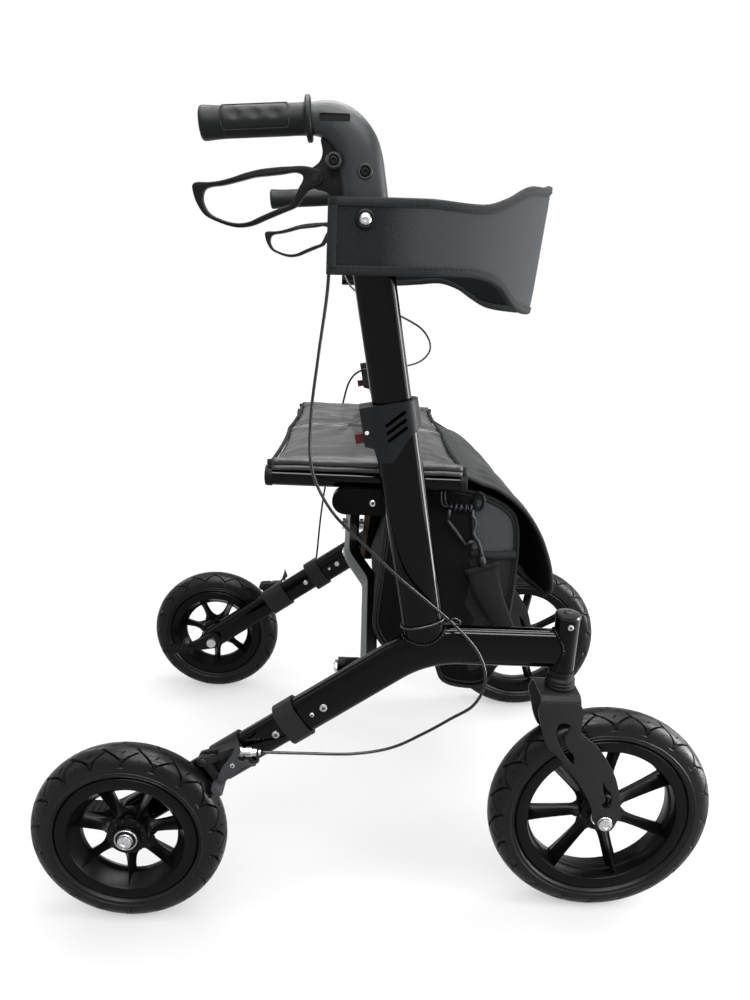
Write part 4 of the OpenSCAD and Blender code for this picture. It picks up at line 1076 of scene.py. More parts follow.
def makeGrip(s, sideName, side):
    along = Vector((s["along"][0], 0, s["along"][1]))
    upward = Vector((s["along"][1], 0, -s["along"][0]))
    outward = Vector((0, 1, 0))
    start = Vector((s["from"][0], 0, s["from"][1]))
    dimpleLong, dimpleTurn = s["dimpleSize"]
    rings = []
    for z, r in [*s["near"], *((z, s["radius"]) for z in s["plain"]), *s["far"]]:
        ring = []
        for k in range(64):
            deg = 360 * k / 64
            t = radians(deg)
            lift = 0.0
            low, high = s["panel"]
            if low < z < high:
                off = (deg + 180) % 360 - 180
                edge = min(z - low, high - z, (off - s["panelAngles"][0]) * 0.26,
                    (s["panelAngles"][1] - off) * 0.26)
                lift = s["panelLift"] * min(max(edge / 1.6, 0), 1)
                for d in s["dimples"]:
                    away = hypot((z - d) / dimpleLong, radians(off - s["dimpleAngle"]) / dimpleTurn)
                    if away < 1:
                        lift -= s["dimpleDepth"] * (1 - away * away) ** 1.2
            p = start + along * z + (upward * cos(t) + outward * sin(t)) * (r + lift)
            ring.append(columnPoint(p.x, p.y, p.z))
        rings.append(ring)
    grip = addLoft("gripBody", rings, gripRubber)
    faceOut(grip)
    sharpBy(grip, 48)
    rim = []
    (low, high), (first, last) = s["panel"], s["panelAngles"]
    across = (last - first) * s["perDegree"]   # millimetres round the grip
    for x, w in roundedBox(high - low - 1.6, across - 1.6, 5.0):
        deg = radians((first + last) / 2 + w / s["perDegree"])
        away = upward * cos(deg) + outward * sin(deg)
        p = start + along * ((low + high) / 2 + x) + away * (s["radius"] + s["panelLift"] + 0.05)
        rim.append(columnPoint(p.x, p.y, p.z))
    grip = joinMeshes(sideName + "Grip", [grip, addTube("gripRim", smoothLine(rim, 4, True) + rim[:1],
        0.00055, rimRubber, 8, caps=False)], side)
    shadeSmooth(grip)
    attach(grip, f"{sideName}_handle")
    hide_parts(f"grip_{sideName}")


def makeLever(s, sideName, side):
    outer = flatLoop(s["outer"], 4)
    inner = flatLoop(s["inner"], 4)
    lever = prism(sideName + "Lever", outer, s["thick"], columnUpright, blackPlastic, [inner], s["bevel"])
    cutAway(lever, [prism("leverGap", s["gap"], s["gapWide"], columnUpright, blackPlastic)])
    sharpBy(lever, 38)
    if side < 0:
        flip(lever)
    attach(lever, f"{sideName}_lever")
    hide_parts(f"brake_lever_{sideName}")


for sideName, side in sides.items():
    makeElbow(elbowSet, sideName, side)
    makeGrip(gripSet, sideName, side)
    makeLever(leverSet, sideName, side)
print("handles ready")

# backrest band, one piece to a side, from the handle round to the middle
bandSet = {
    "hinge": 12.0, "tail": 88.0, "reach": 189.0, "y": 317.0, "thick": 6.0, "seam": 3.9, "tape": 9.0,
    "tapeThick": 1.3,
    "low": {"right": ((-100, 836), (12, 839), (45, 840), (78, 840), (108, 832), (135, 812), (159, 805),
        (204, 803.5), (260, 803.5)), "left": ((-100, 836), (12, 839), (60, 843), (100, 846), (132, 836),
        (156, 820), (176, 808), (204, 803.5), (260, 803.5))},
    "high": {"right": ((-100, 912), (12, 914.5), (78, 914), (108, 925), (135, 941.5), (159, 948),
        (172, 952), (186, 960), (197, 969), (204, 975.5), (260, 975.5)),
        "left": ((-100, 912), (12, 914), (78, 916), (108, 931), (135, 951), (159, 963), (178, 971),
        (204, 975.5), (260, 975.5))},
    "lean": 16.0, "part": 5.0, "lap": 6.0, "lapThick": 0.8, "base": 805.0, "tall": 175.0,
    "snapAt": (-0.050, 0.317, 0.892),
    "snapRing": ((0.0062, 0.0006), (0.0066, 0.0026), (0.0080, 0.0032), (0.0098, 0.0024), (0.0104, 0.0006)),
    "snapBolt": ((0.0064, 0.0008), (0.0062, 0.0034), (0.0050, 0.0048), (0.0026, 0.0054), (0.0022, 0.0040),
        (0.0, 0.0040)),
}


def bandHeight(line, x):
    for i, ((x0, z0), (x1, z1)) in enumerate(zip(line, line[1:])):
        if x0 <= x <= x1:
            before, after = line[max(i - 1, 0)], line[min(i + 2, len(line) - 1)]
            m0 = (z1 - before[1]) / (x1 - before[0])
            m1 = (after[1] - z0) / (after[0] - x0)
            t, h = (x - x0) / (x1 - x0), x1 - x0
            return (z0 * (1 + 2 * t) * (1 - t) ** 2 + h * m0 * t * (1 - t) ** 2 + z1 * t * t * (3 - 2 * t)
                - h * m1 * t * t * (1 - t))
    return line[-1][1]


def lowShare(s, z):
    return 1 - (z - s["base"]) / s["tall"]


def bandLean(s, x, z):
    # the front leans back low down
    return -s["lean"] * lowShare(s, z) * max(x - s["hinge"], 0) / s["reach"]


def bandPart(s, y, z):
    return y + s["part"] * lowShare(s, z) * max(0.0, 1 - y / 60)   # the halves part a little low down


def bandStations(s):
    out = []
    for k in range(15):
        x = -s["tail"] + (s["hinge"] + s["tail"]) * k / 15
        out.append((Vector((x, s["y"] - s["thick"] / 2)), Vector((0, 1)), x))
    last = degrees(acos(s["seam"] / (s["y"] - s["thick"] / 2)))
    for k in range(41):
        t = radians(last * k / 40)
        a, b = s["reach"] - s["thick"] / 2, s["y"] - s["thick"] / 2
        n = Vector((sin(t) * b, cos(t) * a)).normalized()
        p = Vector((s["hinge"] + a * sin(t), b * cos(t)))
        out.append((p, n, s["hinge"] + s["reach"] * sin(t)))
    return out


def makeBandLap(s):
    half = s["thick"] / 2
    low, high = s["low"]["right"][-1][1] + 0.3, s["high"]["right"][-1][1] - 0.3
    deep, wide = s["reach"] - half, s["y"] - half
    rings = []
    for k in range(29):
        z = low + (high - low) * k / 28
        reach = s["seam"] + s["part"] * lowShare(s, z) + s["lap"]
        over = half + s["tapeThick"] + 1.3
        line = []
        for j in range(9):
            y = reach * (1 - j / 4)
            x = s["hinge"] + deep * sqrt(1 - (y / wide) ** 2) + bandLean(s, s["hinge"] + s["reach"], z)
            line.append((x + over, y))
        ring = [metres(x + s["lapThick"], y, z) for x, y in line]
        rings.append(ring + [metres(x, y, z) for x, y in reversed(line)])
    lap = addLoft("bandLap", rings, bandFoam)   # closes the middle on the outside

    def clothOf(at, normal):
        hem = at.z * 1000 < low + s["tape"] or at.z * 1000 > high - s["tape"]
        return 1 if hem else (2 if normal.x < 0 else 0)
    return paintFaces(lap, [bandTape, liningCloth], clothOf)


def bandEnds(s, sideName, x):
    return bandHeight(s["low"][sideName], x), bandHeight(s["high"][sideName], x)


def bandSpot(s, q, x, z):
    return q.x + bandLean(s, x, z), bandPart(s, q.y, z), z


def bothFaces(folds):
    return folds + [(-o, d) for o, d in reversed(folds[:-1])]


def makeBand(s, sideName, side):
    rings, tops, bottoms, marks = [], [], [], {"high": [], "low": []}
    half = s["thick"] / 2
    thick = half + s["tapeThick"]
    folds = bothFaces([(-thick + 0.5, s["tape"]), (-thick, s["tape"] - 1), (-thick, 2.2),
        (-thick * 0.72, 0.5), (0, -0.6)])
    stations = bandStations(s)
    for p, n, x in stations:
        low, high = bandEnds(s, sideName, x)
        tall = high - low
        ring = []
        for face in (1, -1):
            for k in range(13):
                f = k / 12 if face > 0 else 1 - k / 12
                z = low + 0.8 + (tall - 1.6) * f
                swell = half * (0.55 + 0.45 * min(1, 7 * f * (1 - f) + 0.25))
                fade = min(1.0, max(0.0, (x - 40) / 60))
                wave = 0.5 * sin(x / 23 + 2.1 * f) * sin(pi * f) * fade
                q = p + n * (face * swell + wave)
                ring.append(metres(*bandSpot(s, q, x, z)))
        rings.append(ring)
        for store, z, sign in ((tops, high, -1), (bottoms, low, 1)):
            store.append([metres(*bandSpot(s, p + n * o, x, z + sign * d)) for o, d in folds])
        for name, z, sign in (("high", high, -1), ("low", low, 1)):
            at = bandSpot(s, p + n * (thick + 0.1), x, z + sign * (s["tape"] - 2.2))
            marks[name].append((mm(*at), Vector((n.x, n.y, 0))))
    pieces = []
    core = addLoft("bandCore", rings, bandFoam)
    core.data.materials.append(liningCloth)
    for k, p in enumerate(core.data.polygons):
        p.material_index = 1 if k % 26 > 12 and k < 26 * (len(rings) - 1) else 0
    pieces.append(core)
    for store in (tops, bottoms):
        pieces.append(addLoft("bandTape", store, bandTape, closed=False, caps=False))
    ends = []
    p, n, x = stations[0]
    low, high = bandEnds(s, sideName, x)
    folds = bothFaces([(-thick + 0.4, 9), (-thick, 8), (-thick, 1.5), (-thick * 0.6, -0.3), (0, -1.0)])
    for k in range(13):
        z = low + (high - low) * k / 12
        ends.append([metres(x + d, s["y"] - half + o, z) for o, d in folds])
    pieces.append(addLoft("bandEndTape", ends, bandTape, closed=False, caps=False))
    for name in ("high", "low"):
        pieces.append(addMesh("bandStitch", *stitchRow(*zip(*marks[name])), stitchThread))
    for piece in pieces[:4]:   # all but the stitches
        faceOut(piece)
    if side < 0:
        pieces.append(makeBandLap(s))
    band = joinMeshes(sideName + "Backrest", pieces, side)
    shadeSmooth(band)
    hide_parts(f"backrest_{sideName}", f"backrest_end_{sideName}")
    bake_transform(band)
    ring = lathe(sideName + "SnapRing", s["snapRing"], 40, s["snapAt"], blackPlastic, side=side)
    snap = lathe(sideName + "SnapBolt", s["snapBolt"], 40, s["snapAt"], zincSteel, side=side)
    for piece in (ring, snap):
        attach(piece, f"{sideName}_handle")


for sideName, side in sides.items():
    makeBand(bandSet, sideName, side)
print("backrest ready")

# seat halves: puckered leatherette pads with rolled edges, a sewn patch and bound ends
seatSet = {
    "from": -153.5, "to": 83.0, "inner": 1.8, "outer": 243.0, "low": 607.0, "edge": 617.5, "crown": 624.0,
    "draw": 4.0, "cells": (48, 46), "topFrom": 0.6125, "puckerMid": (-58.0, 30.0), "clothPressure": 4.0,
    "clothFrames": 20, "clothCap": 0.003, "rolls": ((618.3, 4.6, 243.3), (611.0, 3.6, 245.0)),
    "rail": (235.0, 598.0, 14.0),
    "patch": {"x": (-64.0, -18.0), "right": (5.0, 121.0), "left": (5.0, 49.0)},
}


def seatTop(s, u, v):
    bulge = 1 - (2 * u - 1) ** 6
    side = 1 - (2 * v - 1) ** 8
    return s["edge"] + (s["crown"] - s["edge"]) * bulge * side


def seatLevel(s, x, y):
    u, v = (x - s["from"]) / (s["to"] - s["from"]), (y - s["inner"]) / (s["outer"] - s["inner"])
    return seatTop(s, u, v)


def seatUnder(s, y):
    at, height, keep = s["rail"]   # the underside rises over the seat rail
    return max(s["low"], height + sqrt(max(keep * keep - (y - at) ** 2, 0.0)))


def seatPoint(s, u, v):
    x0, x1 = s["from"], s["to"]
    draw = s["draw"] * sin(pi * v) ** 0.8
    x = (x0 + draw) + (x1 - x0 - 2 * draw) * u
    y = s["inner"] + (s["outer"] - s["inner"]) * v
    return x, y


def puckers(s, x, y):
    away = Vector((x, y)) - Vector(s["puckerMid"])
    turn = atan2(away.y, away.x)
    far = away.length
    rays = sin(turn * 9 + 0.9 * noise.noise((x * 0.012, y * 0.012, 0.3))) * exp(-((far - 70) / 62) ** 2)
    folds = noise.noise((x * 0.021, y * 0.043, 1.7)) * 1.1 + noise.noise((x * 0.05, y * 0.10, 4.1)) * 0.5
    edge = sin(x * 0.19 + 1.3 * noise.noise((x * 0.02, 0.0, 2.2))) * exp(-(s["outer"] - y) / 24)
    ends = exp(-(s["to"] - x) / 22) + exp(-(x - s["from"]) / 22)
    ends *= sin(y * 0.17 + 2.0 * noise.noise((0.0, y * 0.02, 5.0)))
    return 1.15 * rays + folds + 0.9 * edge + 0.9 * ends


def puffCloth(obj, s):
    mod = obj.modifiers.new("remesh", "REMESH")
    mod.mode = "VOXEL"
    mod.voxel_size = 0.005
    mod.use_smooth_shade = True
    applyModifiers(obj)
    rest = np.array([v.co for v in obj.data.vertices])
    low = rest[:, 2].min()
    group = obj.vertex_groups.new(name="base")
    group.add([i for i, z in enumerate(rest[:, 2]) if z < low + 0.004], 1.0, "REPLACE")
    cloth = obj.modifiers.new("cloth", "CLOTH")
    cloth.settings.quality = 6
    cloth.settings.use_pressure = True
    cloth.settings.uniform_pressure_force = s["clothPressure"]
    cloth.settings.effector_weights.gravity = 0.0
    cloth.settings.vertex_group_mass = "base"
    cloth.point_cache.frame_start = 1
    cloth.point_cache.frame_end = s["clothFrames"]
    for n in range(1, s["clothFrames"] + 1):
        scene.frame_set(n)
    graph = bpy.context.evaluated_depsgraph_get()
    moved = np.array([v.co for v in obj.evaluated_get(graph).data.vertices])
    obj.modifiers.clear()
    obj.vertex_groups.clear()
    scene.frame_set(1)
    step = moved - rest
    size = np.linalg.norm(step, axis=1, keepdims=True)
    step *= np.minimum(1.0, s["clothCap"] / np.maximum(size, 1e-9))
    obj.data.vertices.foreach_set("co", (rest + step).ravel())
    obj.data.update()
    return obj


def makeSeat(s, sideName, side):
    nu, nv = s["cells"]
    top, under = [], []
    for i in range(nu + 1):
        for j in range(nv + 1):
            u, v = i / nu, j / nv
            x, y = seatPoint(s, u, v)
            top.append(metres(x, y, seatTop(s, u, v)))
            under.append(metres(x, y, seatUnder(s, y)))
    n = (nu + 1) * (nv + 1)
    faces = []
    for i in range(nu):
        for j in range(nv):
            a = i * (nv + 1) + j
            quad = (a, a + nv + 1, a + nv + 2, a + 1)
            faces.append(quad)
            faces.append(tuple(reversed([k + n for k in quad])))
    rim = [i * (nv + 1) for i in range(nu + 1)] + [nu * (nv + 1) + j for j in range(1, nv + 1)]
    rim += [i * (nv + 1) + nv for i in range(nu - 1, -1, -1)] + [j for j in range(nv - 1, 0, -1)]
    for a, b in zip(rim, rim[1:] + rim[:1]):
        faces.append((a, a + n, b + n, b))
    pad = addMesh("seatPad", top + under, faces, seatLeather)
    faceOut(pad)
    puffCloth(pad, s)
    subdivide(pad)
    for v in pad.data.vertices:
        if v.co.z > s["topFrom"]:
            lift = min((v.co.z - s["topFrom"]) / 0.004, 1.0)
            v.co.z += puckers(s, v.co.x * 1000, v.co.y * 1000) * 0.00085 * lift
    shadeSmooth(pad)
    pieces = [pad]
    for z, r, y in s["rolls"]:
        line = []
        for k in range(41):
            x = s["from"] + 1.5 + (s["to"] - s["from"] - 3) * (k / 40)
            line.append(mm(x, y + 0.5 * sin(x * 0.07), z + 0.35 * sin(x * 0.11 + z)))
        pieces.append(addTube("seatRoll", line, r / 1000, seatLeather, 14))
    for end in (s["from"] + 1.0, s["to"] - 1.0):
        line = []
        for k in range(25):
            f = k / 24
            x, y = seatPoint(s, 0 if end < 0 else 1, f)
            line.append(mm(x, y, s["edge"] - 2.0 + 1.2 * sin(pi * f)))
        pieces.append(addTube("seatBinding", line, 0.0028, bindingTape, 10))
        x, y = seatPoint(s, 0 if end < 0 else 1, 1.0)
        ear = roundedBox(9, 8, 2.5)

        def place(c, x=x, y=y):
            return mm(x + c.x, y - 1.5 + c.y, s["edge"] - 1.5 + c.z)
        pieces.append(prism("seatEar", ear, 7, place, bindingTape, bevel=1.4))
    for y in (s["inner"] + 78, s["inner"] + 160):
        line = [mm(s["from"] + 6 + (s["to"] - s["from"] - 12) * k / 60, y, 0) for k in range(61)]
        for p in line:
            x = p.x * 1000
            p.z = (seatLevel(s, x, y) + puckers(s, x, y) * 0.85 + 1.4) / 1000
        pieces.append(addMesh("seatStitch", *stitchRow(line, [Vector((0, 0, 1))] * len(line), 0.0042,
            0.0024, 0.0011, 0.0006), stitchThread))
    (x0, x1), (y0, y1) = s["patch"]["x"], s["patch"][sideName]
    rings = []
    for i in range(13):
        x = x0 + (x1 - x0) * i / 12
        upper, lower = [], []
        for j in range(25):
            y = y0 + (y1 - y0) * j / 24
            z = seatLevel(s, x, y)
            z += puckers(s, x, y) * 0.85 + 1.3
            upper.append(mm(x, y, z + 0.9))
            lower.append(mm(x, y, z - 1.2))
        rings.append(upper + list(reversed(lower)))
    pieces.append(sharpBy(faceOut(addLoft("seatPatch", rings, patchWebbing)), 50))
    seat = joinMeshes(sideName + "Seat", pieces, side)
    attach(seat, f"{sideName}_seat")
    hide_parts(f"seat_{sideName}")


for sideName, side in sides.items():
    makeSeat(seatSet, sideName, side)
print("seat ready")

# bag under the seat: shell, side panels, pocket, lid and straps
bagSet = {
    "outline": ((-15, 381), (-2, 357), (20, 345), (70, 340), (74, 326), (84, 306), (110, 298), (138, 300),
        (152, 324), (163, 380), (168, 440), (169, 500), (165, 536), (154, 556), (128, 571), (92, 581),
        (40, 590), (10, 592), (-4, 580), (-7, 520), (-12, 456), (-16, 407)),
    "half": 203.0, "stations": 17, "seam": 496.0, "keep": 0.31, "mid": (80.0, 460.0),
    "shares": (0.0, 0.04, 0.16, 0.32, 0.5, 0.68, 0.84),
}
lidSet = {
    "line": ((90, 601), (112, 597), (136, 588), (160, 571), (180, 549), (195, 524), (206, 498),
        (213, 473), (217, 449), (216.5, 431)),
    "half": 212.0, "thick": 2.4, "corner": 34.0, "hang": 70.0, "cells": 96, "paintedShadeFrom": 0.186,
}


def ridesOnBag(piece):
    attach(piece, "bag")
    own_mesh(piece)


def makeBagShell(s):
    line = [Vector((p.x, p.y)) for p in smoothLine([(x, z, 0) for x, z in s["outline"]], 4, True)]
    mid, count = Vector(s["mid"]), s["stations"]
    rings = []
    for k in range(count):
        f = 2 * k / (count - 1) - 1
        y = s["half"] * f
        ring = []
        for p in line:
            out = (p - mid).normalized()
            soft = (1 - abs(f) ** 3)
            front = max(out.x, 0) * 7 * soft
            sag = max(-out.y, 0) * 6 * soft * (1 if p.x > 30 else 0.4)
            wave = 2.2 * noise.noise((p.x * 0.02, y * 0.016, p.y * 0.021))
            wave += 1.1 * noise.noise((p.x * 0.05, y * 0.04, p.y * 0.06))
            wave *= min(1.0, 3 * (1 - abs(f)) + 0.25)
            flat = 0.15 if p.y > 588 or p.x < 6 else 1.0   # flat below the seat and beside the cross legs
            q = p + out * wave * flat + Vector((front * flat, -sag))
            ring.append(metres(q.x, y, q.y))
        rings.append(ring)
    pieces = [addLoft("bagShell", rings, bagCloth, caps=False)]
    for out in (1, -1):
        edge = [Vector(p) for p in rings[-1 if out > 0 else 0]]
        centre = Vector((0.080, 0.2055 * out, 0.455))
        verts = []
        for share in s["shares"]:
            for p in edge:
                q = p.lerp(centre, share)
                bump = 2.6 * sin(pi * min(share * 1.1, 1))
                bump += 1.6 * noise.noise((q.x * 22, q.z * 22, 0.4 + out)) * min(1, share * 8)
                verts.append((q.x, q.y + out * bump / 1000, q.z))
        verts.append((centre.x, centre.y + out * 0.0012, centre.z))
        n = len(edge)
        faces = []
        last = (len(s["shares"]) - 1) * n
        for a in range(0, last, n):
            for k in range(n):
                m = (k + 1) % n
                faces.append((a + k, a + m, a + n + m, a + n + k))
        for k in range(n):
            faces.append((last + k, last + (k + 1) % n, len(verts) - 1))
        panel = addMesh("bagPanel", verts, faces, bagNet)
        panel.data.materials.append(coatedCloth)
        panel.data.materials.append(bagCloth)
        for p in panel.data.polygons:
            x, z = p.center.x * 1000, p.center.z * 1000
            p.material_index = 1 if z > s["seam"] and x > 94 else (0 if x > 112 and z > 330 else 2)
        pieces.append(panel)
        for share, r in ((0.0, 0.0026), (0.045, 0.0015)):
            ring = [p.lerp(centre, share) + Vector((0, 0.0008 * out, 0)) for p in edge]
            pieces.append(addTube("bagPiping", ring + ring[:1], r, bindingTape, 8, caps=False))
        seam = [mm(107 + (166 - 107) * k / 24, out * (206.6 + 1.4 * sin(pi * k / 24)),
            s["seam"] - 2 * sin(pi * k / 24)) for k in range(25)]
        pieces.append(addTube("bagSeam", seam, 0.0034, bindingTape, 8, flat=1.6, flatAxis=(0, 0, 1)))
    for piece in pieces:
        faceOut(piece)
    bag = joinMeshes("bagBody", pieces)
    shadeSmooth(bag)
    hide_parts("bag_body")
    ridesOnBag(bag)


def makeLid(s):
    line = [Vector((p.x, p.y)) for p in smoothLine([(x, z, 0) for x, z in s["line"]], 5)]
    run = lengthsAlong(line)
    total = run[-1]
    rings = []
    edges = {1: [], -1: []}
    for i, p in enumerate(line):
        d = headingAt(line, i)
        n = Vector((-d.y, d.x)) * -1
        if n.x < 0 and n.y < 0:
            n = -n
        left = total - run[i]
        half = s["half"]
        if left < s["corner"]:
            half -= s["corner"] - sqrt(max(s["corner"] ** 2 - (s["corner"] - left) ** 2, 0))
        way = run[i] / total
        grow = 0.35 + 0.65 * run[i] / total
        upper, near = max(0.0, 1 - way * 1.6), min(1.0, run[i] / 25)
        ox, oz = n.x * s["thick"] / 2, n.y * s["thick"] / 2
        top, under = [], []
        for k in range(s["cells"] + 1):
            f = 2 * k / s["cells"] - 1
            y = half * f
            wave = 2.4 * noise.noise((p.x * 0.018, y * 0.013, 3.3)) * grow * (1 - 0.5 * abs(f))
            wave += 1.0 * noise.noise((p.x * 0.05, y * 0.035, 7.7)) * (1 - 0.6 * abs(f))
            pucker = sin(y * 0.14 + p.x * 0.05 + 8 * noise.noise((p.x * 0.016, y * 0.014, 1.4)))
            # some folds fade
            pucker *= min(1.0, max(0.1, 0.5 + 1.6 * noise.noise((p.x * 0.011, y * 0.017, 5.1))))
            wave += 3.0 * pucker * (1 - way) * min(1.0, run[i] / 20)
            curl = 2.0 * abs(f) ** 10 * run[i] / total
            q = p + n * (max(wave, -0.5) * (0.2 if run[i] < 30 else 1.0) + curl)
            q.y -= (11.0 if f > 0 else 7.0) * f ** 4 * upper * near   # drawn down over the bag's corners
            q.y -= s["hang"] * (f + 1) / 2 * way ** 2   # the far end hangs lower
            top.append(metres(q.x + ox, y, q.y + oz))
            under.append(metres(q.x - ox, y, q.y - oz))
            if k in (0, s["cells"]):
                edges[1 if k else -1].append(mm(q.x, y, q.y))
        rings.append(top + list(reversed(under)))

    def clothOf(at, normal):
        # the underside takes the lining; the far strip of the top takes it too, as painted shade on the
        # lid's far edge
        return 1 if normal.x * 0.6 + normal.z < 0 or at.y > s["paintedShadeFrom"] else 0
    lidPiece = paintFaces(addLoft("lidSheet", rings, lidCloth), [liningCloth], clothOf)
    shadeSmooth(lidPiece)
    count = len(rings[-1])
    bottom = [Vector(rings[-1][k]).lerp(Vector(rings[-1][count - 1 - k]), 0.5) for k in range(count // 2)]
    hem = edges[-1] + bottom[3:-3:3] + list(reversed(edges[1]))
    binding = addTube("lidBinding", hem, 0.0026, bindingTape, 8)
    lidPiece.name = "bagLid"
    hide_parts("bag_flap")
    ridesOnBag(lidPiece)
    ridesOnBag(binding)


strapSet = {
    "web": (((103, 470), (142.5, 485)), ((115, 440), (149, 458)), ((128, 418), (155, 438)),
        ((140, 402), (161, 424)), ((150, 376), (176, 390))),
    "y": 210.0,
    "rods": (((61, 582), (62.6, 565), (67, 560), (74, 559.5)),
        ((65.6, 581), (67.5, 566), (72, 560), (78, 559.5))),
    "link": ((74, 557), (72, 542), (98, 508.6), (108, 515.4), (104, 557)),
    "coil": (74, 104, 559.0, 4.0, 4.5), "ring": (110.7, 569.3, 5.5, 11.0),
    "snap": ((102.6, 550), (108.4, 540.6), (106.6, 525.6), (114.7, 512.6), (121, 494)),
    "swivel": ((120.6, 497), (122.3, 487), (123.2, 480)),
}


def makeStrap(s, out):
    pieces, rings = [], []
    for i, (a, b) in enumerate(s["web"]):
        a, b = Vector(a), Vector(b)
        ring = []
        for lift in (1.1, -1.1):
            for k in range(9):
                f = k / 8 if lift > 0 else 1 - k / 8
                p = a.lerp(b, f)
                bow = 1.6 * sin(pi * f) + 1.2 * sin(i * 1.7)
                ring.append(metres(p.x, out * (s["y"] + bow + lift + i * 0.2), p.y))
        rings.append(ring)
    fine = []
    for a, b in zip(rings, rings[1:]):
        for k in range(4):
            fine.append([Vector(p).lerp(Vector(q), k / 4) for p, q in zip(a, b)])
    fine.append([Vector(p) for p in rings[-1]])
    pieces.append(addLoft("strapWeb", fine, strapWebbing))
    a, b = (Vector((*p, 0)) for p in s["web"][0])
    tube = [Vector((a.x - 2, 0, a.y)).lerp(Vector((b.x + 2, 0, b.y)), k / 8) for k in range(9)]
    tube = [Vector(metres(p.x, out * (s["y"] + 1.5), p.z)) for p in tube]
    pieces.append(addTube("strapLoop", tube, 0.0034, strapWebbing, 12))

    def beside(points, off):
        return [mm(x, out * (s["y"] + off), z) for x, z in points]
    pieces.append(addTube("swivel", beside(s["swivel"], 2), [0.0030, 0.0050, 0.0044], darkSteel, 14))
    pieces.append(addTube("snapHook", smoothLine(beside(s["snap"], 3), 4), 0.0026, darkSteel, 10))
    for rod in s["rods"]:
        pieces.append(addTube("hookRod", smoothLine(beside(rod, 1), 4), 0.0016, darkSteel, 8))
    for ends in zip(s["link"], s["link"][1:]):
        pieces.append(addTube("linkRod", beside(ends, 2), 0.0026, darkSteel, 10))
    x0, x1, z, r, turns = s["coil"]
    coil = []
    for k in range(91):
        t = 2 * pi * k / 90 * turns
        coil.append(mm(x0 + (x1 - x0) * k / 90, out * (s["y"] + 1 + r * cos(t)), z + r * sin(t)))
    pieces.append(addTube("hookCoil", coil, 0.0017, darkSteel, 8))
    x, z, wide, high = s["ring"]
    ring = []
    for k in range(33):
        t = 2 * pi * k / 32
        ring.append(mm(x + wide * cos(t), out * (s["y"] + 4 + 2 * cos(t)), z + high * sin(t)))
    pieces.append(addTube("hookRing", ring, 0.0026, blackPlastic, 10, caps=False))
    strap = joinMeshes("bagStrapLeft" if out > 0 else "bagStrapRight", pieces)
    shadeSmooth(faceOut(strap))
    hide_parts("bag_strap")
    ridesOnBag(strap)


makeBagShell(bagSet)
makeLid(lidSet)
for out in (1, -1):
    makeStrap(strapSet, out)
print("bag ready")

# brake cables, whole from the levers to the brake mounts
cableSet = {
    "radius": 0.0019,
    "right": ((-85, -292, 903), (-87, -291, 870), (-88, -291, 820), (-96, -292, 750), (-103, -292, 678),
        (-100, -292, 620), (-76, -294, 572), (-36, -296, 533), (8, -296, 492), (48, -292, 458),
        (82, -290, 428), (112, -292, 395), (124, -295, 358), (112, -296, 324), (84, -296, 303),
        (50, -296, 280), (10, -296, 258), (-40, -294, 246), (-100, -290, 242), (-160, -289, 241)),
    "left": ((-85, 292, 903), (-87, 287, 868), (-72, 272, 834), (-32, 261, 808), (20, 258, 786),
        (64, 258, 762), (80, 257, 730), (60, 255, 704), (10, 254, 691), (-40, 254, 686), (-66, 264, 664),
        (-80, 280, 610), (-94, 288, 530), (-108, 290, 450), (-116, 290, 380), (-121, 290, 310),
        (-127, 290, 262), (-138, 290, 246), (-160, 289, 241)),
}


def makeCable(s, sideName):
    line = smoothLine([mm(*p) for p in s[sideName]], 6)
    cable = addTube(sideName + "BrakeCable", line, s["radius"], cableSheath, 12)
    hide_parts(f"brake_cable_{sideName}")
    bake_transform(cable)


for sideName in sides:
    makeCable(cableSet, sideName)
print("cables ready")

# oval frame tubes, welds, bolts and small fittings
tubeSet = {
    "y": 264.0, "corner": (46.0, 391.0), "axle": (-327.0, 127.0), "bend": 150.0,
    "head": (228.0, 15.3, 362.0, 435.0), "tubeEnd": 201.0, "lower": (26.0, 14.5), "leg": (22.7, 11.2),
    "column": (26.2, 16.0), "post": (22.9, 12.7), "columnTo": 312.0, "postSpan": (162.0, 520.0),
    "power": 2.35, "around": 56, "lugs": ((-63.0, -33.5), (-10.5, 0.0)), "lugAt": (228.0, 336.0, 12.0),
    "collarSlots": {"tilt": 29.0, "at": (282.0, 291.0, 300.0)}, "collarPinAt": (-33.5, 15.0, 288),
    "collarPin": ((0.0024, -0.0006), (0.0024, 0.0006), (0.0018, 0.0011), (0.0, 0.0013)),
}
boltSet = {
    "tube": ((153.0, 5.3), (171.0, 3.2)), "leg": (228.0, 5.3), "pin": (-66.0, 3.0, 228.0, 336.0, 5.0),
    "headScrew": (228.0, 279.3, 427.0), "saddleScrew": (-27.0, 256.4, 573.0),
    "arm": (-230.7, 293.0, 232.1, 8.0),
}
tieSet = {"at": 33.0, "cord": 1.45, "ring": (81.0, 292.0, 436.0), "ringRadius": 6.0, "wire": 1.2}
bracketSet = {
    "line": ((-187.2, 267.4), (-184.5, 260.4), (-181.2, 250.8), (-184.6, 246.8), (-185.6, 242.2),
        (-183.4, 237.4), (-178.7, 236.5), (-173.9, 239.5), (-169.0, 233.2), (-161.7, 232.9),
        (-165.3, 229.9), (-175.1, 229.6), (-186.2, 221.0), (-198.5, 209.1), (-205.5, 202.6),
        (-211.0, 210.4), (-204.6, 227.5), (-193.4, 244.8), (-188.5, 259.0)),
    "y": 303.0, "thick": 2.4, "spacer": (-192.0, 231.0, 292.0, 302.0, 5.2), "barrel": (0, 289.0, 241.0),
    "barrelLine": ((4.4, -190), (6.0, -189.6), (6.3, -188.6), (6.3, -181.6), (6.0, -180.6), (5.0, -180.2),
        (5.0, -177.6), (6.0, -177.2), (6.0, -169.6), (5.4, -168.8), (4.8, -168.2), (4.8, -163.4),
        (3.6, -162.6), (3.4, -158.0), (2.6, -157.6)),
}
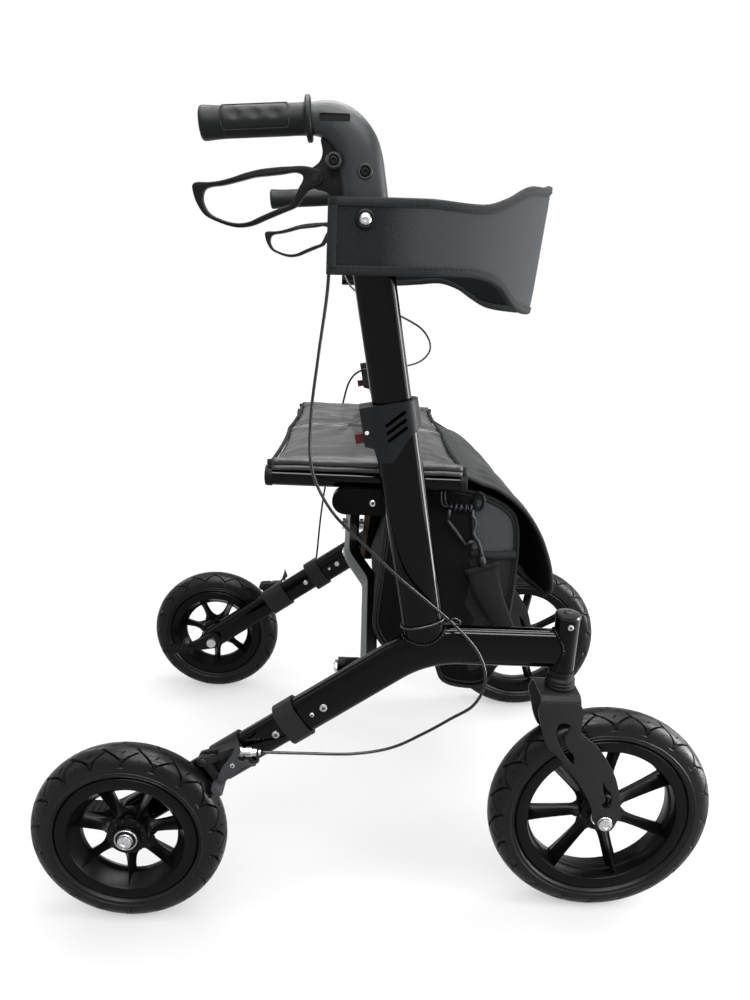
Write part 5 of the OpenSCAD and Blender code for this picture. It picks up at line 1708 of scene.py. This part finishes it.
crossSet = {
    "pivot": (-22.0, 228.0, 336.0), "lean": 29.505, "length": 521.0, "from": 134.0, "turn": 30.0,
    "round": 40.0, "step": 29.0, "boss": (11.0, 12.0), "rail": (-158.5, 86.5, 235.0, 598.0, 12.0),
    "section": ((-11, -5.5), (-3.5, -13), (8, -13), (11, -10), (11, 10), (8, 13), (-3.5, 13), (-11, 5.5)),
}
armSet = {
    "pivot": (-230.7, 293.0, 232.1), "tip": (-212.5, 201.3), "ends": (5.8, 4.8),
    "shoe": {"axle": (-327.0, 127.0), "y": 301.0, "wide": 28.0, "inner": 131.6, "outer": 140.4,
        "from": 28.4, "to": 34.2},
}


def bodyOf(node):
    return next(b for b, held in frame["record"]["behaviour"]["bodies"].items() if node in held)


def ovalRing(half, s):
    ring = []
    for k in range(s["around"]):
        t = 2 * pi * k / s["around"]
        c, q = cos(t), sin(t)
        ring.append((half[0] * signedPower(c, 2 / s["power"]), half[1] * signedPower(q, 2 / s["power"])))
    return ring


def pipeProfile(r, low, high, edge):
    return inMetres([(r - 3, low), (r - edge, low), (r, low + edge), (r, high - edge), (r - edge, high),
        (r - 3, high)])


def legTurn(s):
    return atan2(s["corner"][1] - s["axle"][1], s["corner"][0] - s["axle"][0])


def legPoint(s, along):
    turn = legTurn(s)
    return s["corner"][0] - along * cos(turn), s["corner"][1] - along * sin(turn)


def lowerPath(s):
    turn = legTurn(s)
    first = s["bend"] * tan(turn / 2)
    start = s["corner"][0] + first
    line = [(s["head"][0] - 5 - (s["head"][0] - 5 - start) * k / 6, s["corner"][1]) for k in range(7)]
    for k in range(1, 17):
        q = turn * k / 16
        line.append((start - s["bend"] * sin(q), s["corner"][1] - s["bend"] * (1 - cos(q))))
    line += [legPoint(s, first + (s["tubeEnd"] - first) * k / 6) for k in range(1, 7)]
    return line


def sweepOval(name, path, half, s, mat):
    rings = []
    for i, (x, z) in enumerate(path):
        d = headingAt(path, i)
        rings.append([mm(x - d.y * u, s["y"] + v, z + d.x * u) for u, v in ovalRing(half, s)])
    return faceOut(addLoft(name, rings, mat, caps=False))


def tubeTop(s, x, b):
    b = min(abs(b), 0.93 * s["lower"][1])
    rise = s["lower"][0] * (1 - (b / s["lower"][1]) ** s["power"]) ** (1 / s["power"])
    start = s["corner"][0] + s["bend"] * tan(legTurn(s) / 2)
    if x > start:
        return s["corner"][1] + rise
    return s["corner"][1] - s["bend"] + sqrt((s["bend"] + rise) ** 2 - (x - start) ** 2)


def columnFoot(s, a, b):
    low, high = -6.0, 80.0
    for _ in range(24):
        mid = (low + high) / 2
        p = inColumn((a, b, mid)) * 1000
        if p.z < tubeTop(s, p.x, b):
            low = mid
        else:
            high = mid
    return low


def columnRing(s):
    front, rear = columnFoot(s, s["column"][0], 0.0), columnFoot(s, -s["column"][0], 0.0)
    low = columnFoot(s, 0.0, s["column"][1])
    ring = []
    for a, b in ovalRing(s["column"], s):
        end = rear + (front - rear) * (a / s["column"][0] + 1) / 2
        ring.append((a, b, end + (low - end) * (1 - (a / s["column"][0]) ** 2) - 1.0))
    return ring


def weldLine(name, points, radius):
    pts = points + points[:1]
    run = lengthsAlong(pts)
    count = int(run[-1] / 0.0011)
    line, sizes, i = [], [], 0
    for k in range(count + 1):
        at = run[-1] * k / count
        while i < len(run) - 2 and run[i + 1] < at:
            i += 1
        line.append(pts[i].lerp(pts[i + 1], (at - run[i]) / max(run[i + 1] - run[i], 1e-9)))
        sizes.append(radius * (0.78 + 0.30 * abs(sin(pi * k / 4))))
    return addTube(name, line, sizes, weldBead, 8, caps=False)


def makeSideFrame(s, sideName, side):
    pieces = [sweepOval("lowerTube", lowerPath(s), s["lower"], s, glossPaint)]
    x, r, low, high = s["head"]
    profile = pipeProfile(r, low, high, 0.8)
    pieces.append(lathe("headTube", profile, 48, mm(x, s["y"], 0), glossPaint, (0, 0, 1)))
    y, z, boss = s["lugAt"]
    outline = [(y + boss * cos(radians(90 + 10 * k)), z + boss * sin(radians(90 + 10 * k)))
        for k in range(19)]
    outline += [(s["y"] - 13.0, z - boss), (s["y"] - 13.0, z + boss)]
    for x0, x1 in s["lugs"]:
        def place(c, x0=x0, x1=x1):
            return mm((x0 + x1) / 2 + c.z, c.x, c.y)
        pieces.append(prism("pivotLug", outline, x1 - x0, place, glossPaint, bevel=0.6))
    weld = [inColumn((a * 1.03, b * 1.05, z + 1.4)) for a, b, z in columnRing(s)]
    pieces.append(weldLine("columnWeld", weld, 0.0024))
    weld = []
    for a, b in ovalRing(s["lower"], s):
        weld.append(mm(x - sqrt(max(r * r - b * b, 9.0)) - 0.9, s["y"] + b, s["corner"][1] + a))
    pieces.append(weldLine("headWeld", weld, 0.0022))
    tube = joinMeshes(sideName + "SideFrame", pieces, side)
    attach(tube, f"{sideName}_frame")
    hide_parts(f"side_frame_{sideName}")


def columnTube(name, ring, top, side):
    rings = [[inColumn((a, b, z + (top - z) * k / 8)) for a, b, z in ring] for k in range(9)]
    tube = faceOut(addLoft(name, rings, glossPaint, caps=False))
    return flip(tube) if side < 0 else tube


def makeColumn(s, sideName, side):
    column = columnTube(sideName + "Column", columnRing(s), s["columnTo"], side)
    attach(column, f"{sideName}_frame")
    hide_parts(f"column_{sideName}")
    low, high = s["postSpan"]
    post = columnTube(sideName + "HandlePost", [(a, b, low) for a, b in ovalRing(s["post"], s)], high, side)
    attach(post, f"{sideName}_handle")
    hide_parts(f"handle_post_{sideName}")


def makeRearLeg(s, sideName, side):
    whole = hypot(s["corner"][0] - s["axle"][0], s["corner"][1] - s["axle"][1])
    path = [legPoint(s, 140 + (whole - 140) * k / 8) for k in range(9)]
    pieces = [sweepOval("legTube", path, s["leg"], s, glossPaint)]
    big, wide = s["leg"]
    profile = []
    for k in range(13):
        t = radians(-90 + 15 * k)
        c, q = cos(t), sin(t)
        profile.append((big * abs(c) ** (2 / s["power"]), wide * signedPower(q, 2 / s["power"])))
    pieces.append(lathe("legEnd", inMetres(profile), 48, mm(s["axle"][0], s["y"], s["axle"][1]), glossPaint))
    leg = joinMeshes(sideName + "RearLeg", pieces, side)
    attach(leg, f"{sideName}_frame")
    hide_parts(f"rear_leg_{sideName}")


def domeBolt(name, at, r, high, axis=(0, 1, 0)):
    profile = [(r, -0.2), (r, 0.35 * high), (0.9 * r, 0.72 * high), (0.66 * r, 0.94 * high),
        (0.46 * r, high), (0.42 * r, 0.5 * high), (0.0, 0.46 * high)]
    head = lathe(name, inMetres(profile), 40, mm(*at), zincSteel, axis)
    # a dark disc over the head's socket: painted shade in the recess
    socketShade = lathe(name + "SocketShade", [(0.42 * r / 1000, 0.53 * high / 1000), (0.0, 0.53 * high / 1000)], 6,
        mm(*at), darkSteel, axis)
    return [head, socketShade]


def hexNut(name, at, r, high, axis):
    profile = [(0.0, 0.0), (r * 0.9, 0.0), (r, high * 0.18), (r, high * 0.82), (r * 0.9, high),
        (r * 0.5, high), (r * 0.48, high + 1.2), (0.0, high + 1.2)]
    return [lathe(name, inMetres(profile), 6, mm(*at), zincSteel, axis)]


def makeBolts(b, s, sideName, side):
    pieces = []
    for along, r in (*b["tube"], b["leg"]):
        x, z = legPoint(s, along)
        wide = s["leg"][1] if along > s["tubeEnd"] else s["lower"][1]
        pieces += domeBolt("frameBolt", (x, s["y"] + wide, z), r, 3.0)
        pieces += hexNut("frameNut", (x, s["y"] - wide, z), r * 0.95, 3.4, (0, -1, 0))
    x0, x1, y, z, r = b["pin"]
    pieces.append(lathe("pivotPin", inMetres(rodProfile(r, x0, x1)), 32, mm(0, y, z), zincSteel, (1, 0, 0)))
    pieces += domeBolt("pivotHead", (0.4, y, z), 8.0, 4.0, (1, 0, 0))
    pieces += hexNut("pivotNut", (-63.2, y, z), 8.0, 4.2, (-1, 0, 0))
    pieces += domeBolt("headScrew", b["headScrew"], 4.0, 2.6)
    pieces += domeBolt("saddleScrew", b["saddleScrew"], 4.4, 2.6)
    x, y, z, half = b["arm"]
    pieces.append(lathe("armPin", [(0.003, -half / 1000), (0.003, half / 1000)], 24, mm(x, y, z), zincSteel))
    for piece in domeBolt("armHead", (x, y + half + 0.1, z), 5.0, 2.4) + hexNut("armNut",
            (x, y - half - 0.1, z), 4.8, 3.0, (0, -1, 0)):
        piece.data.materials[0] = darkSteel
        pieces.append(piece)
    bolts = joinMeshes(sideName + "FrameBolts", pieces, side)
    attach(bolts, f"{sideName}_frame")
    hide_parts(f"frame_bolts_{sideName}")


def makeCableTie(t, s, sideName, side):
    loop = []
    for a, b in ovalRing(s["column"], s):
        n = Vector((a / s["column"][0] ** 2, b / s["column"][1] ** 2)).normalized() * t["cord"]
        loop.append(inColumn((a + n.x, b + n.y, t["at"] + 2.0 * a / s["column"][0])))
    pieces = [faceOut(addTube("tieCord", loop + loop[:1], t["cord"] / 1000, tiePlastic, 10, caps=False))]
    line = []
    # an open loop, leaning over the cable
    level, upright = Vector((0.80, 0.0, -0.60)), Vector((0.45, 0.66, 0.60))
    for k in range(29):
        q = 2 * pi * k / 28
        line.append(mm(*t["ring"]) + (level * cos(q) + upright * sin(q)) * t["ringRadius"] / 1000)
    pieces.append(addTube("tieRing", line, t["wire"] / 1000, tiePlastic, 10, caps=False))
    start = inColumn((20.0, 13.4, t["at"]))
    end = mm(*t["ring"]) - upright.normalized() * (t["ringRadius"] / 1000)
    pieces.append(addTube("tieTail", [start, start.lerp(end, 0.5) + mm(1.5, 1.5, 0.5), end], 0.0018,
        tiePlastic, 10))
    tie = joinMeshes(sideName + "CableTie", pieces, side)
    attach(tie, f"{sideName}_frame")


def legLine(g):
    turn, r, step, start = radians(g["turn"]), g["round"], g["step"], g["from"]
    line = [(0.0, start * k / 6) for k in range(7)]
    if step:
        run = (step - 2 * r * (1 - cos(turn))) / sin(turn)
        end = start + 2 * r * sin(turn) + run * cos(turn)
        line += [(-r * (1 - cos(turn * k / 6)), start + r * sin(turn * k / 6)) for k in range(1, 7)]
        line += [(r * (1 - cos(turn * k / 6)) - step, end - r * sin(turn * k / 6)) for k in range(6, -1, -1)]
    last = line[-1]
    return line + [(last[0], last[1] + (g["length"] - last[1]) * k / 8) for k in range(1, 9)]


def makeSeatRail(g, sideName, side):
    x0, x1, y, z, r = g["rail"]
    profile = pipeProfile(r, x0, x1, 0.6)
    rail = lathe(sideName + "SeatRail", profile, 56, mm(0, y, z), glossPaint, (1, 0, 0), side=side)
    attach(rail, bodyOf(f"seat_rail_{sideName}"))
    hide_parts(f"seat_rail_{sideName}")


def makeCrossLeg(g, sideName, side, mat):
    line = legLine({**g, "step": g["step"] if side < 0 else 0.0})
    lean = radians(g["lean"])
    along, across = Vector((0, -cos(lean), sin(lean))), Vector((0, -sin(lean), -cos(lean)))
    rings = []
    for i, p in enumerate(line):
        d = headingAt(line, i)
        ring = []
        for u, w in g["section"]:
            spot = Vector((p[0] + d.y * u, 0, 0)) + along * (p[1] - d.x * u) + across * w
            ring.append(mm(*g["pivot"]) + spot / 1000)
        rings.append(ring)
    pieces = [bevelEdges(sharpBy(faceOut(addLoft("legBar", rings, mat)), 30), 0.0009, 2, 30)]
    half, r = g["boss"]
    profile = [(0.0, -half), (r - 1, -half), (r, 1 - half), (r, half - 1), (r - 1, half), (0.0, half)]
    pieces.append(lathe("legBoss", inMetres(profile), 40, mm(*g["pivot"]), mat, (1, 0, 0)))
    leg = joinMeshes(sideName + "CrossLeg", pieces, side)
    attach(leg, bodyOf(f"cross_leg_{sideName}"))
    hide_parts(f"cross_leg_{sideName}")


def uprightAt(y):
    return lambda c: mm(c.x, y + c.z, c.y)


def makeBrakeBracket(b, sideName, side):
    outline = flatLoop(b["line"], 3)
    pieces = [prism("bracketPlate", outline, b["thick"], uprightAt(b["y"]), greyPlastic, bevel=0.5)]
    x, z, y0, y1, r = b["spacer"]
    pieces.append(lathe("bracketSpacer", inMetres(rodProfile(r, y0, y1)), 24, mm(x, 0, z), greyPlastic))
    pieces += domeBolt("bracketScrew", (x, b["y"] + 1.2, z), 3.4, 2.2)
    barrel = inMetres(b["barrelLine"])
    pieces.append(lathe("barrelAdjuster", barrel, 28, mm(*b["barrel"]), zincSteel, (1, 0, 0)))
    bracket = joinMeshes(sideName + "BrakeBracket", pieces, side)
    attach(bracket, f"{sideName}_frame")


def makeBrakeArm(b, sideName, side):
    x, y, z = b["pivot"]
    tip, shoe = b["tip"], b["shoe"]
    way = Vector((tip[0] - x, tip[1] - z)).normalized()
    cross = Vector((-way.y, way.x))
    outline = []
    for mid, first, r in (((x, z), 90, b["ends"][0]), (tip, 270, b["ends"][1])):
        for k in range(13):
            t = radians(first + 15 * k)
            p = Vector(mid) + (way * cos(t) + cross * sin(t)) * r
            outline.append((p.x, p.y))
    line = []
    for r, order in ((shoe["inner"], 1), (shoe["outer"], -1)):
        for k in range(7):
            f = k / 6 if order > 0 else 1 - k / 6
            t = radians(shoe["from"] + (shoe["to"] - shoe["from"]) * f)
            line.append((shoe["axle"][0] + r * cos(t), shoe["axle"][1] + r * sin(t)))
    pieces = [prism("armPlate", outline, 6.0, uprightAt(y), satinPaint, bevel=0.6),
        prism("armShoe", line, shoe["wide"], uprightAt(shoe["y"]), greyPlastic, bevel=0.8)]
    arm = joinMeshes(sideName + "BrakeArm", pieces, side)
    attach(arm, f"{sideName}_brake_arm")
    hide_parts(f"brake_arm_{sideName}")


def makeRailCaps(g, sideName, side):
    pieces = []
    x0, x1, y, z, r = g["rail"]
    for x, way in ((x0, -1), (x1, 1)):
        profile = [(r + 0.1, -7.0), (r + 1.0, -6.4), (r + 1.0, 0.4), (r + 0.2, 1.8), (9.0, 2.7), (0.0, 3.0)]
        pieces.append(lathe("railCap", inMetres(profile), 36, mm(x, y, z), blackPlastic, (way, 0, 0)))
    caps = joinMeshes(sideName + "RailCaps", pieces, side)
    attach(caps, bodyOf(f"seat_rail_{sideName}"))


def makeSmallThings(s, sideName, side):
    outward = (inColumn((0, 1000, 0)) - inColumn((0, 0, 0))).normalized()
    at = inColumn(s["collarPinAt"])
    pin = lathe(sideName + "CollarPin", s["collarPin"], 24, at, whitePlastic, outward, side=side)
    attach(pin, f"{sideName}_frame")
    # thin dark sheets at the floor of the collar's slots: painted shade, making the shallow slots look deep
    slotShadePieces = []
    for height in s["collarSlots"]["at"]:
        def slotAt(c, height=height):
            x, z = turned(c, s["collarSlots"]["tilt"])
            return inColumn((1 + x, 18.8 + c.z, height + z))
        slotShadePieces.append(prism("slotShade", roundedBox(27.4, 3.5, 1.3), 0.6, slotAt, grooveShade))
    collarSlotShade = joinMeshes(sideName + "CollarSlotShade", slotShadePieces, side)
    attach(collarSlotShade, f"{sideName}_frame")
    ribs = []
    for k in range(7):
        x = s["axle"][0] - 68 - 24 + 8 * k
        ribs.append(addTube("pedalRib", [mm(x, 231.5, 114.1), mm(x, 249.5, 114.1)], 0.0011, blackPlastic, 8))
    tread = joinMeshes(sideName + "PedalRibs", ribs, side)
    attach(tread, f"{sideName}_frame")


for sideName, side in sides.items():
    makeSideFrame(tubeSet, sideName, side)
    makeColumn(tubeSet, sideName, side)
    makeRearLeg(tubeSet, sideName, side)
    makeBolts(boltSet, tubeSet, sideName, side)
    makeCableTie(tieSet, tubeSet, sideName, side)
    makeCrossLeg(crossSet, sideName, side, legPaintAndReflection if side < 0 else bronzeAndPaintedShade)
    makeSeatRail(crossSet, sideName, side)
    makeBrakeBracket(bracketSet, sideName, side)
    makeBrakeArm(armSet, sideName, side)
    makeRailCaps(crossSet, sideName, side)
    makeSmallThings(tubeSet, sideName, side)
print("details ready")

# floor, lamps and plain white surroundings
stageSet = {
    "floorHalf": 24.0, "floorColour": (0.55, 0.55, 0.55), "glow": (0.40, 0.80), "glowFrom": (0.9, 3.0),
    "worldLight": 0.54,
}
lampSet = {
    "overhead": {"at": (-0.05, 0.0, 2.6), "aim": (-0.05, -0.1, 0.4), "size": (1.9, 1.4), "watts": 26},
    "frontTop": {"at": (0.0, -1.7, 2.1), "aim": (0.0, -0.25, 0.5), "size": (1.6, 0.5), "watts": 12},
    "right": {"at": (1.45, -0.75, 0.85), "aim": (0.0, -0.25, 0.60), "size": (0.6, 1.3), "watts": 15},
    "rightBack": {"at": (1.6, 0.5, 1.0), "aim": (0.0, -0.2, 0.4), "size": (0.6, 1.7), "watts": 17},
    "frontLeft": {"at": (-1.9, -1.0, 1.35), "aim": (-0.05, 0.0, 0.5), "size": (0.7, 1.8), "watts": 8},
    "backLeft": {"at": (-1.8, 1.5, 1.7), "aim": (0.0, 0.0, 0.6), "size": (0.09, 2.0), "watts": 14},
}
# reflected by the gloss only, as a studio's strip boxes
glintSet = {
    "rightGlint": {"at": (1.5, -0.33, 0.62), "aim": (0.0, -0.30, 0.60), "size": (0.42, 1.3), "watts": 68},
    "nearGlint": {"at": (-0.05, -0.75, 2.4), "aim": (-0.05, -0.25, 0.5), "size": (1.9, 0.40), "watts": 86},
    "frontGlint": {"at": (0.1, -1.75, 2.0), "aim": (0.0, -0.25, 0.5), "size": (1.8, 0.32), "watts": 72},
    "farGlint": {"at": (-0.05, 0.40, 2.5), "aim": (-0.05, -0.1, 0.5), "size": (1.9, 0.30), "watts": 64},
}


def seenRays(tree):
    path = addNode(tree, "ShaderNodeLightPath")
    seen = calc(tree, "MAXIMUM", path.outputs["Is Camera Ray"], path.outputs["Is Glossy Ray"])
    return calc(tree, "MAXIMUM", seen, path.outputs["Is Transmission Ray"])


def makeFloor(s):
    half = s["floorHalf"]
    mat, tree, shader, where = newMaterial("pale floor", s["floorColour"], 0.8)
    shader.inputs["Emission Color"].default_value = (1, 1, 1, 1)
    away = addNode(tree, "ShaderNodeVectorMath", {"operation": "LENGTH"}, Vector=where).outputs["Value"]
    glow = spread(tree, away, *s["glow"], *s["glowFrom"])   # the lamps light the floor nearby
    seen = calc(tree, "MULTIPLY", glow, seenRays(tree))
    tree.links.new(seen, shader.inputs["Emission Strength"])
    floor = addMesh("paleFloor", [(-half, -half, 0), (half, -half, 0), (half, half, 0), (-half, half, 0)],
        [(0, 1, 2, 3)], mat)


def makeLamp(name, s):
    data = bpy.data.lights.new(name, "AREA")
    data.shape = "RECTANGLE"
    data.size, data.size_y = s["size"]
    data.energy = s["watts"]
    lamp = bpy.data.objects.new(name, data)
    aim = Vector(s["aim"]) - Vector(s["at"])
    lamp.matrix_world = Matrix.Translation(s["at"]) @ aim.to_track_quat("-Z", "Y").to_matrix().to_4x4()
    scene.collection.objects.link(lamp)
    return lamp


def makeWorld(s):
    world = bpy.data.worlds.new("studio")
    scene.world = world
    world.use_nodes = True
    tree = world.node_tree
    tree.nodes.clear()
    level = spread(tree, seenRays(tree), s["worldLight"], 1.0, 0.0, 1.0)
    back = addNode(tree, "ShaderNodeBackground", {"Color": (1, 1, 1, 1)}, Strength=level)
    addNode(tree, "ShaderNodeOutputWorld", Surface=back.outputs[0])


makeFloor(stageSet)
for lampName, lampValues in lampSet.items():
    makeLamp(lampName, lampValues)
for lampName, lampValues in glintSet.items():
    makeLamp(lampName, lampValues).visible_diffuse = False
makeWorld(stageSet)
scene.view_settings.view_transform = "Standard"
print("stage ready")
